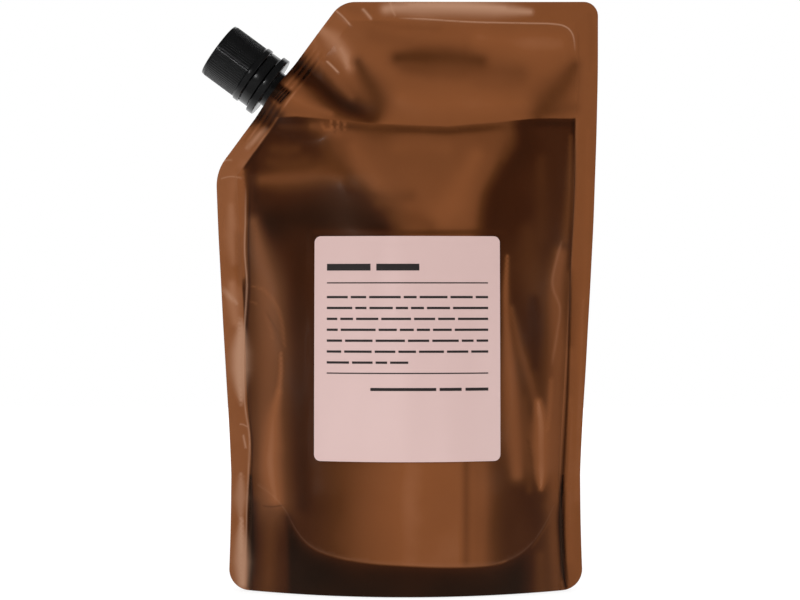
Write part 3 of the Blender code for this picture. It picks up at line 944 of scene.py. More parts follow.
PAPER_FINISH = PaperFinish(
    "label_paper",
    unevenness=(9 * MM, 0.3 * MM, 0.6),
    roughness=(0.42, 0.54),
    colours=((0.655, 0.465, 0.44), (0.59, 0.41, 0.385)),
    bump=(0.15, 0.01 * MM),
)
INK_FINISH = Finish(
    "print_ink",
    unevenness=(3 * MM, 0.25 * MM, 0.5),
    roughness=(0.45, 0.55),
    colours=((0.012, 0.009, 0.009, 1.0), (0.03, 0.021, 0.02, 1.0)),
    colour_mask="Grain",
    roughness_mask="Grain",
)


@dataclass
class Finishes:
    """The material of every finish, made once."""

    film: bpy.types.Material = field(default_factory=FILM_FINISH.make)
    soap: bpy.types.Material = field(default_factory=SOAP_FINISH.make)
    plastic: bpy.types.Material = field(default_factory=PLASTIC_FINISH.make)
    paper: bpy.types.Material = field(default_factory=PAPER_FINISH.make)
    ink: bpy.types.Material = field(default_factory=INK_FINISH.make)


# Marks that paint light, shade and sheen on the panels for their folds, creases, glints and shadows, some
# with a little real relief; first the front panel's welds
SEAL_MARKS = (
    Mark(((-68.4, 180.0), (-71.4, 173.3), (-72.7, 164.1), (-72.2, 153.1)), (2.1, 3.79, 3.37, 2.1), 1.12, 0.5),
    banded(
        ((-69.7, 175.8), (-69.3, 168.3), (-69.5, 155.6), (-69.5, 143.0), (-69.1, 132.5)),
        (3.79, 5.05, 5.05, 4.63, 3.79), 1.0, 0.97,
    ),
    Mark(((-73.5, 161.5), (-73.1, 148.9), (-72.2, 138.0)), (2.1, 4.21, 2.52), 1.16, 0.5, sheen=0.1),
    Mark(((-69.7, 148.9), (-69.3, 138.0), (-68.9, 129.6)), (3.37, 4.21, 2.52), 0.75, 0.5),
    Mark(((-73.1, 128.7), (-72.7, 122.0), (-71.4, 112.7)), (2.52, 4.21, 2.94), 1.2, 0.6, sheen=0.12),
    Mark(
        ((-69.3, 114.4), (-69.3, 107.7), (-69.7, 100.1), (-69.7, 90.0), (-69.3, 83.3), (-68.9, 78.2)),
        (0.84, 3.37, 5.47, 5.47, 3.37, 0.84), sheen=0.85, rise=0.25,
    ),
    Mark(((-69.3, 77.4), (-69.3, 67.3)), (2.52, 3.37), 1.02, 0.6),
    Mark(
        ((-69.3, 49.6), (-69.3, 43.8), (-69.3, 38.3), (-69.3, 32.8), (-69.3, 28.6)),
        (0.63, 2.52, 4.21, 2.52, 0.63), sheen=0.45, rise=0.2,
    ),
    Mark(
        ((-69.0, 30.3), (-69.1, 23.6), (-68.9, 13.5), (-68.6, 2.5)), (0.84, 3.37, 4.84, 3.37), sheen=0.92,
        rise=0.25,
    ),
    Mark(((-76.9, 127.0), (-74.1, 123.5), (-71.0, 120.7)), (0.84, 1.89, 0.84), sheen=0.5, rise=0.1),
    fine(((-70.1, 69.8), (-68.4, 69.6), (-66.3, 68.6)), 0.67, sheen=0.5),
    fine(((-68.4, 65.6), (-67.2, 59.7)), 0.93, sheen=0.6),
    Mark(((-66.7, 185.9), (-62.9, 190.0), (-58.6, 194.2)), (1.26, 2.52, 1.68), sheen=0.35),
    fine(((-77.7, 179.6), (-75.6, 180.7), (-73.1, 180.9)), 0.67, sheen=0.4),
    fine(((-78.1, 172.9), (-73.9, 173.9), (-69.3, 173.5)), 0.63, sheen=0.35),
    fine(
        ((-67.1, 169.9), (-67.3, 155.6), (-67.6, 143.0), (-66.7, 130.4), (-66.9, 123.3), (-68.2, 99.7),
        (-67.6, 78.2), (-65.7, 64.4), (-66.1, 50.5), (-66.8, 35.3), (-67.1, 21.0), (-67.9, 2.5)), 0.72,
        sheen=0.5, rise=0.1,
    ),
    Mark(
        ((-64.6, 174.1), (-64.8, 147.2), (-65.0, 122.0), (-66.1, 99.7), (-65.5, 78.3), (-63.8, 63.2),
        (-64.2, 46.3), (-64.7, 29.4), (-65.1, 12.6)), (2.1, 2.1, 1.68, 1.68, 1.68, 1.68, 1.68, 1.68, 1.26),
        0.4, 0.3,
    ),
    fine(
        ((-65.2, 173.2), (-65.5, 162.3), (-66.0, 147.2), (-65.6, 130.4), (-65.8, 122.8), (-66.8, 109.4),
        (-67.0, 99.3), (-66.5, 84.1), (-65.8, 73.2), (-64.6, 64.0), (-64.6, 57.2), (-65.0, 49.6),
        (-65.3, 41.2), (-65.4, 31.1), (-65.4, 18.9), (-65.8, 7.6), (-66.6, 0.8)),
        (0.76, 0.76, 0.84, 0.84, 0.84, 0.84, 0.84, 0.84, 0.93, 1.01, 1.01, 1.18, 1.6, 2.02, 2.19, 1.77, 1.26),
        0.12, 0.85,
    ),
    banded(
        ((-65.1, 48.0), (-65.1, 37.9), (-65.1, 27.3), (-65.1, 18.1), (-65.3, 9.7), (-65.9, 1.7)),
        (1.26, 2.31, 3.16, 3.37, 2.94, 1.68), 0.02, 0.95,
    ),
    Mark(
        ((-8.3, 244.4), (-2.4, 245.1), (18.6, 245.3), (35.5, 244.4), (52.3, 243.2)),
        (3.37, 5.89, 5.89, 5.05, 2.1), sheen=0.66, rise=0.2,
    ),
    Mark(((1.8, 246.1), (22.8, 245.9), (41.8, 244.8)), (1.26, 2.52, 1.26), sheen=0.5),
    fine(((-6.6, 247.8), (-5.8, 244.4), (-4.1, 241.1)), 1.01, sheen=0.35),
    Mark(((-27.6, 246.5), (-22.6, 244.4), (-14.2, 243.2)), (2.52, 3.79, 2.1), 0.86, 0.5),
    fine(
        ((-3.2, 240.6), (10.2, 240.0), (27.0, 238.9), (48.1, 238.4), (61.5, 238.1), (67.4, 236.8),
        (70.4, 233.1), (71.2, 226.3)), 0.63, sheen=0.6, rise=0.15,
    ),
    fine(((-29.7, 244.0), (-26.4, 241.1), (-23.0, 237.2)), 0.8, sheen=0.6, rise=0.2),
    fine(((-18.4, 244.8), (-16.3, 242.5), (-14.2, 239.8)), 1.18, sheen=0.6, rise=0.2),
    Mark(((-12.9, 238.9), (-2.4, 236.8), (14.4, 235.9)), 2.1, 0.78, 0.4),
    Mark(((77.5, 242.3), (78.4, 231.4), (77.5, 218.8)), (1.26, 2.1, 1.26), 0.82, 0.5),
    fine(((72.5, 235.6), (72.9, 214.6), (72.1, 199.4)), 0.76, 0.72, 0.5),
    Mark(((74.6, 122.0), (73.3, 79.9), (72.1, 37.9)), (1.68, 2.94, 2.94), 1.12, 0.5),
    Mark(((69.1, 79.9), (69.1, 58.9), (68.7, 33.7), (68.3, 12.6)), (2.94, 3.79, 3.79, 3.37), 1.06, 0.7),
    Mark(((68.7, 132.9), (69.1, 117.8), (69.1, 103.5)), (3.37, 4.21, 2.94), 0.66, 0.7),
    Mark(((76.7, 193.5), (76.3, 155.7), (75.0, 122.0)), (1.68, 2.1, 1.68), 1.02, 0.5),
    fine(
        ((71.2, 194.4), (71.3, 185.1), (70.9, 168.3), (70.1, 151.4), (69.3, 138.0), (69.0, 122.0),
        (68.5, 103.1), (67.8, 79.9), (66.7, 58.9), (65.7, 42.1), (65.2, 31.1), (65.4, 18.9), (66.3, 7.6),
        (67.4, 0.8)), (0.67, 0.76, 0.76, 0.76, 0.84, 0.84, 0.84, 1.09, 1.6, 2.19, 2.52, 2.36, 1.77, 1.09),
        0.12, 0.85,
    ),
    banded(
        ((65.9, 48.0), (65.5, 37.9), (65.4, 27.3), (65.8, 18.1), (66.2, 9.7), (67.2, 1.3)),
        (1.05, 2.1, 2.73, 2.73, 2.52, 1.89), 0.0, 0.96,
    ),
)
HEADSPACE_MARKS = (
    fine(((-33.5, 222.7), (-30.9, 220.2), (-28.0, 217.2)), 0.93, sheen=0.7, rise=0.2),
    Mark(
        ((-35.2, 235.5), (-30.1, 231.3), (-25.9, 225.3), (-23.4, 219.3)), (2.94, 5.89, 6.31, 3.37), 1.18,
        0.75, sheen=0.14, rise=0.2,
    ),
    Mark(((-27.2, 227.8), (-25.5, 224.0), (-24.6, 219.3)), (1.26, 2.1, 0.84), sheen=0.25),
    Mark(((-39.0, 231.3), (-37.7, 226.2), (-35.1, 221.9)), (2.1, 3.37, 2.1), 1.12, 0.5),
    Mark(
        ((-46.9, 222.0), (-42.3, 217.7), (-36.4, 212.6), (-30.0, 207.0), (-23.3, 202.7), (-15.8, 199.3)),
        (8.41, 9.26, 10.52, 10.94, 10.1, 7.57), 0.06, 0.94, rise=-0.35,
    ),
    Mark(
        ((-36.0, 222.8), (-31.3, 217.6), (-27.1, 212.1), (-22.9, 207.4)), (2.52, 4.21, 4.63, 3.37), 0.95, 0.5,
        rise=0.15,
    ),
    Mark(
        ((-20.0, 221.8), (-17.1, 215.9), (-13.7, 209.9), (-12.0, 204.0), (-14.5, 199.8)),
        (3.79, 6.31, 8.41, 9.68, 7.57), 0.38, 0.76, rise=-0.15,
    ),
    Mark(
        ((-3.2, 223.5), (3.5, 223.7), (10.2, 223.5), (16.9, 223.5), (23.6, 222.7), (31.2, 221.9)),
        (5.89, 8.41, 9.68, 10.1, 9.26, 5.89), 0.4, 0.86,
    ),
    Mark(((-0.7, 219.3), (14.4, 218.0), (31.2, 218.1), (48.0, 217.3)), (5.05, 7.57, 8.41, 6.73), 0.62, 0.6),
    Mark(((-14.2, 233.4), (-5.8, 231.2), (1.8, 229.9)), (5.89, 5.89, 3.37), 0.76, 0.55),
    Mark(
        ((70.8, 220.4), (67.4, 214.5), (63.2, 209.0), (59.3, 204.3), (55.5, 199.6)),
        (5.05, 8.41, 10.94, 10.94, 6.73), 0.46, 0.72, rise=-0.2,
    ),
    Mark(((59.7, 200.9), (65.7, 201.9), (70.8, 202.8)), (3.37, 5.89, 4.21), 0.5, 0.4),
    Mark(((31.1, 212.5), (39.5, 212.6), (48.0, 213.5)), (5.05, 5.89, 4.21), 0.76, 0.4),
    Mark(
        ((-1.6, 206.5), (10.1, 203.1), (21.0, 204.0), (39.5, 203.3), (47.9, 204.2)),
        (5.89, 8.41, 8.41, 7.57, 5.05), 1.03, 0.7, rise=0.3,
    ),
    Mark(((31.2, 232.1), (48.0, 230.4), (64.9, 229.7)), (5.89, 8.41, 6.73), 1.06, 0.6),
    Mark(((10.2, 232.9), (20.7, 232.1)), 5.05, 0.95, 0.4),
    Mark(
        ((-50.7, 209.3), (-46.9, 206.3), (-39.3, 202.0), (-31.7, 199.8)), (2.1, 3.79, 4.21, 2.52), 1.02, 0.8,
        rise=0.3,
    ),
    Mark(((-57.0, 204.7), (-55.3, 201.7), (-52.7, 199.2)), (3.37, 5.05, 4.21), 0.2, 0.7),
)
UPPER_BODY_MARKS = (
    Mark(
        ((-63.7, 191.7), (-56.9, 191.2), (-48.5, 191.5), (-42.6, 189.8), (-37.1, 184.7)),
        (6.73, 8.41, 8.41, 9.26, 6.73), 0.24, 0.85,
    ),
    Mark(((-55.2, 185.3), (-51.0, 184.8), (-45.9, 185.2)), (3.79, 5.47, 3.79), 0.56, 0.6),
    Mark(((-64.1, 185.0), (-63.7, 175.7), (-63.3, 164.0)), (2.1, 3.37, 2.94), 0.16, 0.85),
    Mark(
        ((-60.3, 172.3), (-51.8, 172.6), (-43.3, 173.0), (-35.8, 173.8), (-27.4, 172.9)),
        (5.05, 7.57, 8.41, 8.41, 5.89), 0.72, 0.85, rise=0.15,
    ),
    Mark(((-56.9, 179.9), (-49.3, 178.9), (-42.5, 179.7)), (3.37, 5.89, 5.05), 0.55, 0.55),
    Mark(
        ((-34.6, 185.9), (-29.1, 180.4), (-25.3, 175.4), (-22.4, 169.5)), (3.37, 4.63, 5.05, 3.79), 0.48,
        0.45, rise=-0.1,
    ),
    Mark(((-39.2, 194.8), (-34.2, 194.4), (-28.3, 192.2)), (3.79, 5.47, 4.21), 0.84, 0.75),
    Mark(((-31.3, 197.1), (-31.0, 194.3)), 0.84, 1.15, 0.7),
    Mark(((-28.6, 197.1), (-28.2, 194.1)), 0.84, 1.15, 0.7),
    Mark(((-25.8, 196.6), (-25.5, 193.7)), 0.84, 1.1, 0.7),
    Mark(((-35.0, 195.0), (-33.1, 193.1), (-30.4, 193.7)), 0.84, 1.15, 0.6),
    Mark(((-30.0, 195.6), (-29.6, 192.6)), 0.84, 0.4, 0.5),
    Mark(((-27.1, 195.6), (-26.8, 192.6)), 0.84, 0.4, 0.5),
    Mark(((-52.7, 195.0), (-46.8, 194.5), (-42.6, 194.4)), (1.68, 2.52, 2.52), 0.48, 0.6),
    Mark(
        ((-64.5, 152.2), (-52.6, 154.2), (-40.8, 156.2), (-29.9, 157.0), (-19.9, 155.2), (-9.9, 151.9)),
        (11.78, 15.15, 17.67, 18.51, 15.15, 9.26), 0.1, 0.97, rise=-0.15,
    ),
    Mark(((-21.6, 185.4), (-17.4, 178.7), (-11.6, 171.1)), (4.21, 6.73, 5.89), 0.86, 0.7, rise=0.05),
    Mark(((-3.2, 185.4), (5.9, 186.2), (16.8, 185.4)), (5.05, 8.41, 5.89), 0.88, 0.6),
    Mark(
        ((29.3, 182.1), (25.9, 174.5), (20.9, 164.4), (15.0, 156.9)), (5.89, 8.41, 10.94, 9.26), 0.95, 0.8,
        rise=0.15,
    ),
    Mark(((-10.7, 162.7), (-4.1, 163.6), (1.8, 165.2)), (5.05, 6.73, 5.05), 0.58, 0.6),
    Mark(((-4.1, 156.0), (2.6, 155.6), (10.0, 152.7)), (5.89, 7.57, 5.05), 0.58, 0.55),
    Mark(((-19.1, 193.9), (-12.4, 191.3), (-5.7, 193.0)), (4.21, 5.89, 4.21), 0.5, 0.55),
    Mark(
        ((49.6, 194.1), (49.5, 186.5), (45.3, 178.0), (40.6, 169.6), (36.4, 160.3), (35.1, 149.5)),
        (8.41, 9.26, 9.26, 9.26, 9.26, 9.26), 0.2, 0.8,
    ),
    Mark(((42.8, 194.0), (43.2, 188.1), (40.7, 182.2)), (4.21, 5.89, 4.21), 0.6, 0.6),
    Mark(((56.7, 180.7), (56.7, 165.6), (56.6, 148.8)), (3.79, 5.89, 5.89), 0.4, 0.7),
    Mark(((69.5, 191.0), (69.1, 176.7), (68.4, 161.5), (66.9, 147.2)), (1.26, 2.52, 3.37, 3.79), 0.62, 0.8),
    Mark(((-37.4, 150.3), (-2.4, 149.8), (41.4, 150.3)), 2.1, 0.3, 0.6),
)
SIDE_MARKS = (
    Mark(
        ((-64.1, 154.7), (-61.5, 143.0), (-58.5, 128.3), (-56.8, 109.5), (-56.8, 88.5), (-57.2, 67.6),
        (-56.3, 38.4)), (5.05, 9.26, 13.46, 15.15, 14.3, 14.3, 15.15), 0.73, 0.94, sheen=0.05, rise=0.12,
    ),
    Mark(((-52.0, 99.5), (-52.0, 92.0), (-52.9, 83.6)), (0.84, 1.43, 1.68), 1.05, 0.85, rise=0.2),
    Mark(
        ((-52.9, 83.6), (-55.0, 74.0), (-55.9, 62.6), (-56.3, 51.7), (-54.2, 38.5)),
        (2.1, 4.63, 6.73, 6.73, 5.05), 1.08, 0.92, rise=0.12,
    ),
    Mark(
        ((-64.5, 127.9), (-59.4, 126.2), (-54.6, 120.7), (-51.6, 112.8), (-50.3, 102.0)),
        (0.63, 1.26, 1.47, 1.47, 0.84), 1.0, 0.45,
    ),
    Mark(
        ((-65.4, 121.2), (-61.9, 120.3), (-58.1, 115.3), (-55.5, 106.1)), (0.63, 1.05, 1.26, 0.84), 0.95, 0.4,
    ),
    Mark(((-62.8, 122.0), (-55.9, 112.8), (-50.8, 102.0)), (0.84, 1.26, 0.84), 0.5, 0.5),
    Mark(((-63.7, 80.0), (-62.9, 63.2), (-63.4, 42.1)), (2.1, 3.37, 2.52), 0.5, 0.7),
    Mark(((-63.6, 36.2), (-63.6, 21.1), (-63.8, 7.7)), (3.37, 3.79, 2.52), 0.16, 0.8),
    Mark(((-55.9, 32.5), (-56.8, 17.4), (-57.6, 0.6)), (5.89, 6.31, 7.15), 0.57, 0.9),
    Mark(((-48.6, 31.3), (-47.3, 23.9), (-46.5, 5.6)), (3.79, 4.21, 3.37), 0.18, 0.85),
    fine(((-60.3, 35.8), (-55.9, 35.7), (-50.7, 36.6)), 0.84, 0.4, 0.7),
    Mark(
        ((-43.7, 148.7), (-44.0, 122.0), (-43.5, 80.5), (-42.6, 37.0)), (7.57, 8.41, 7.15, 5.89), 0.18, 0.88,
        rise=-0.12,
    ),
    Mark(
        ((42.2, 140.3), (41.5, 126.2), (41.7, 114.5), (42.9, 92.9), (44.1, 75.1), (45.4, 61.4), (46.2, 49.7)),
        (1.26, 2.52, 3.37, 5.89, 8.83, 9.26, 5.89), 0.94, 0.9, rise=0.12,
    ),
    Mark(
        ((43.8, 118.7), (47.1, 103.3), (50.5, 93.2), (54.0, 80.2), (55.7, 75.2)),
        (2.1, 3.37, 4.21, 4.63, 3.37), 0.76, 0.7, rise=0.15,
    ),
    Mark(
        ((55.3, 79.4), (56.6, 71.0), (57.2, 62.2), (57.2, 52.5), (56.4, 43.4)), (2.52, 6.73, 9.68, 8.41, 2.1),
        1.24, 0.97, rise=0.12,
    ),
    Mark(((49.7, 81.2), (50.1, 67.9), (50.9, 52.8), (51.4, 42.8)), (2.52, 3.79, 4.63, 2.52), 0.6, 0.6),
    Mark(((50.7, 150.4), (52.8, 137.9), (53.6, 123.7)), (6.73, 10.1, 6.73), 0.46, 0.7),
    Mark(((53.6, 122.0), (54.8, 107.4), (54.4, 94.4)), (4.21, 5.89, 3.79), 0.19, 0.85, rise=-0.12),
    Mark(
        ((65.2, 141.3), (63.1, 125.4), (63.9, 103.1), (63.1, 80.0), (62.7, 54.8), (63.2, 37.9)),
        (5.89, 8.41, 10.1, 10.94, 10.94, 8.41), 0.86, 0.9, rise=0.12,
    ),
    fine(
        ((65.6, 147.6), (61.8, 132.9), (61.8, 126.6), (64.6, 118.6), (63.5, 108.6), (61.1, 94.3)), 1.26, 0.98,
        0.6, sheen=0.08,
    ),
    Mark(((59.4, 67.5), (60.3, 78.0), (60.9, 88.5)), (1.26, 1.85, 1.43), 1.08, 0.7),
    Mark(((50.9, 63.7), (52.2, 55.3), (53.1, 46.9)), (0.84, 1.26, 0.84), 0.4, 0.4),
    fine(((63.2, 34.6), (58.3, 26.5), (51.8, 17.8)), 1.01, 0.7, 0.5),
    Mark(((61.4, 34.7), (62.7, 17.0), (63.6, 1.0)), (5.89, 7.15, 7.57), 0.68, 0.9),
    Mark(((56.1, 15.0), (56.6, 0.7)), (4.21, 6.73), 0.58, 0.8),
    Mark(((44.1, 39.0), (46.6, 28.9), (46.6, 18.9)), (6.73, 10.94, 10.94), 0.33, 0.75),
)
LOW_BODY_MARKS = (
    Mark(((24.8, 54.5), (24.8, 35.6), (24.8, 14.1)), 2.94, 0.62, 0.8),
    Mark(((31.0, 54.3), (31.0, 35.4), (30.6, 13.9)), (4.63, 4.63, 3.37), 0.86, 0.8),
    Mark(((1.7, 54.7), (1.7, 15.3)), 6.73, 1.06, 0.5),
    Mark(((-28.0, 54.4), (-27.1, 16.9)), 3.37, 0.52, 0.4),
    fine(((-43.1, 22.0), (-38.0, 18.5), (-32.5, 16.5), (-22.2, 14.8)), 1.26, 0.95, 0.45),
    fine(((29.8, 11.8), (36.1, 12.1), (42.4, 14.2)), 1.43, 1.0, 0.5),
)
# Painted light, shade and sheen of the back panel
BACK_SEAL_MARKS = (
    Mark(((-30.0, 243.5), (-8.0, 244.2), (15.0, 243.4)), (2.0, 4.6, 2.0), sheen=0.7, rise=0.1),
    Mark(((30.0, 243.4), (44.0, 243.8), (54.0, 243.4)), (1.6, 4.0, 1.6), sheen=0.4, rise=0.1),
    Mark(((70.6, 152.0), (71.0, 134.0), (70.6, 116.0)), (1.6, 4.2, 1.8), sheen=0.6, rise=0.1),
    Mark(((-69.8, 98.0), (-69.2, 84.0), (-69.4, 68.0)), (1.6, 4.6, 2.0), sheen=0.75, rise=0.1),
    Mark(((-68.6, 40.0), (-68.0, 26.0), (-68.0, 12.0)), (2.0, 4.2, 2.0), sheen=0.5, rise=0.1),
    Mark(((69.0, 78.0), (68.4, 62.0), (68.6, 40.0)), (2.0, 4.0, 2.0), sheen=0.35, rise=0.1),
    fine(((-33.0, 228.0), (-20.0, 238.4), (20.0, 237.0), (64.0, 238.0)), 0.7, sheen=0.4),
)
BACK_HEADSPACE_MARKS = (
    Mark(((-53.0, 217.0), (-38.0, 209.0), (-26.0, 202.0)), (7.0, 10.0, 6.0), 0.16, 0.85, rise=-0.3),
    Mark(((-24.0, 232.0), (-12.0, 221.0), (-8.0, 207.0)), (4.0, 9.0, 6.0), 0.45, 0.75, rise=-0.15),
    Mark(((-44.0, 221.0), (-36.0, 214.0), (-30.0, 208.0)), (2.0, 5.0, 2.0), 1.2, 0.6, sheen=0.1, rise=0.15),
    Mark(((2.0, 224.0), (24.0, 221.0), (44.0, 225.0)), (7.0, 11.0, 7.0), 0.5, 0.75),
    Mark(((38.0, 214.0), (52.0, 207.0), (62.0, 202.0)), (5.0, 9.0, 7.0), 0.42, 0.7),
    Mark(((12.0, 208.0), (26.0, 205.0)), 7.0, 1.05, 0.6, rise=0.1),
)
BACK_BODY_MARKS = (
    Mark(((-62.0, 184.0), (-46.0, 180.0), (-28.0, 183.0)), (6.0, 10.0, 6.0), 0.6, 0.7),
    Mark(((-66.0, 158.0), (-48.0, 165.0), (-30.0, 166.0), (-14.0, 156.0)), (14.0, 19.0, 17.0, 9.0), 0.1, 0.9),
    Mark(((4.0, 188.0), (12.0, 170.0), (10.0, 152.0)), (7.0, 11.0, 9.0), 0.95, 0.7, rise=0.15),
    Mark(((30.0, 190.0), (35.0, 172.0), (44.0, 150.0)), (7.0, 10.0, 9.0), 0.22, 0.8),
    Mark(
        ((-28.0, 150.0), (-20.0, 122.0), (-25.0, 92.0), (-19.0, 60.0)), (8.0, 14.0, 13.0, 9.0), 0.42, 0.6,
        rise=-0.2,
    ),
    Mark(
        ((16.0, 148.0), (22.0, 120.0), (17.0, 92.0), (21.0, 62.0)), (5.0, 9.0, 9.0, 5.0), 0.5, 0.55,
        rise=-0.15,
    ),
    Mark(((-3.0, 142.0), (0.0, 110.0), (-3.0, 66.0)), (8.0, 14.0, 10.0), 1.02, 0.6, rise=0.15),
    Mark(
        ((-58.0, 150.0), (-54.0, 120.0), (-56.0, 90.0), (-55.0, 44.0)), (5.0, 14.0, 15.0, 12.0), 0.74, 0.92,
        rise=0.15,
    ),
    Mark(((-50.0, 92.0), (-52.5, 72.0), (-51.0, 50.0)), (2.0, 7.5, 2.5), 1.12, 0.92, sheen=0.05, rise=0.12),
    Mark(((-44.0, 150.0), (-42.0, 108.0), (-42.5, 46.0)), (7.0, 9.0, 7.0), 0.18, 0.88, rise=-0.15),
    Mark(
        ((46.0, 156.0), (45.5, 118.0), (48.0, 84.0), (50.0, 48.0)), (2.0, 6.0, 10.0, 3.0), 1.0, 0.9,
        rise=0.12,
    ),
    Mark(((60.0, 140.0), (58.0, 100.0), (60.0, 40.0)), (6.0, 10.0, 9.0), 0.84, 0.88, rise=0.12),
    Mark(((53.0, 146.0), (54.5, 128.0), (54.0, 104.0)), (4.0, 6.5, 4.0), 0.2, 0.8, rise=-0.12),
    fine(((-62.0, 124.0), (-54.0, 110.0), (-48.0, 94.0)), 1.1, sheen=0.14),
    fine(((62.0, 150.0), (58.5, 133.0), (61.0, 117.0)), 1.3, 1.05, 0.8, sheen=0.08),
)
# Height of the soap's edge, then of the curved weld over the gusset, across the pouch
FILL_PATH = (
    (-72.0, 198.5), (-54.0, 198.6), (-45.6, 198.7), (-35.9, 197.9), (-26.2, 197.1), (-14.5, 195.7),
    (10.1, 194.7), (17.2, 194.5), (38.2, 196.3), (55.5, 198.2), (80.0, 198.4),
)
GUSSET_WELD_PATH = (
    (-66.0, 46.0), (-56.5, 40.5), (-50.6, 34.5), (-46.8, 28.0), (-43.0, 22.8), (-38.4, 19.2),
    (-32.5, 16.8), (-23.0, 14.8), (-12.3, 13.6), (0.0, 12.9), (11.6, 12.3), (22.0, 12.0),
    (30.0, 12.0), (36.1, 12.4), (41.0, 13.4), (46.0, 15.4), (51.0, 18.8), (55.3, 23.4),
    (59.3, 29.5), (63.2, 37.0), (67.4, 46.3),
)
# How far the painted lines over the weld boat's ribs lie inwards of the slanted edge, and how strong each is:
# a painted highlight where positive, painted shade where negative
BOAT_LINES = ((1.9, -0.16), (3.0, 0.14), (3.9, -0.16), (5.2, 0.14), (6.5, -0.2), (7.6, 0.12))
# Height, left edge, right edge, how softly each fades, and brightness of the glow between them
GLOW_EDGES = (
    (14.0, -22.0, 34.0, 24.0, 12.0, 1.0),
    (52.0, -22.0, 34.0, 24.0, 12.0, 1.0),
    (153.0, -3.0, 32.5, 12.0, 5.0, 0.8),
    (160.0, -6.0, 32.5, 10.0, 5.0, 0.82),
    (166.0, -13.0, 33.5, 9.0, 5.0, 0.78),
    (178.0, -30.0, 39.5, 14.0, 4.5, 0.76),
    (191.0, -34.0, 45.5, 12.0, 4.0, 0.72),
    (198.0, -36.0, 46.5, 12.0, 4.0, 0.66),
)


@dataclass
class FilmTone:
    """Painted light, painted sheen, clearness and relief of the film at each mesh point."""

    light: np.ndarray
    sheen: np.ndarray
    alpha: np.ndarray
    relief: np.ndarray

    def lay(self, mark: Mark, x: np.ndarray, z: np.ndarray, zone: np.ndarray) -> None:
        """Lays one mark over the film, inside its zone."""
        cover = mark.cover(x, z) * zone
        self.light += (mark.light - self.light) * mark.weight * cover
        self.sheen += (1 - self.sheen) * mark.sheen * cover
        self.relief += mark.rise * cover


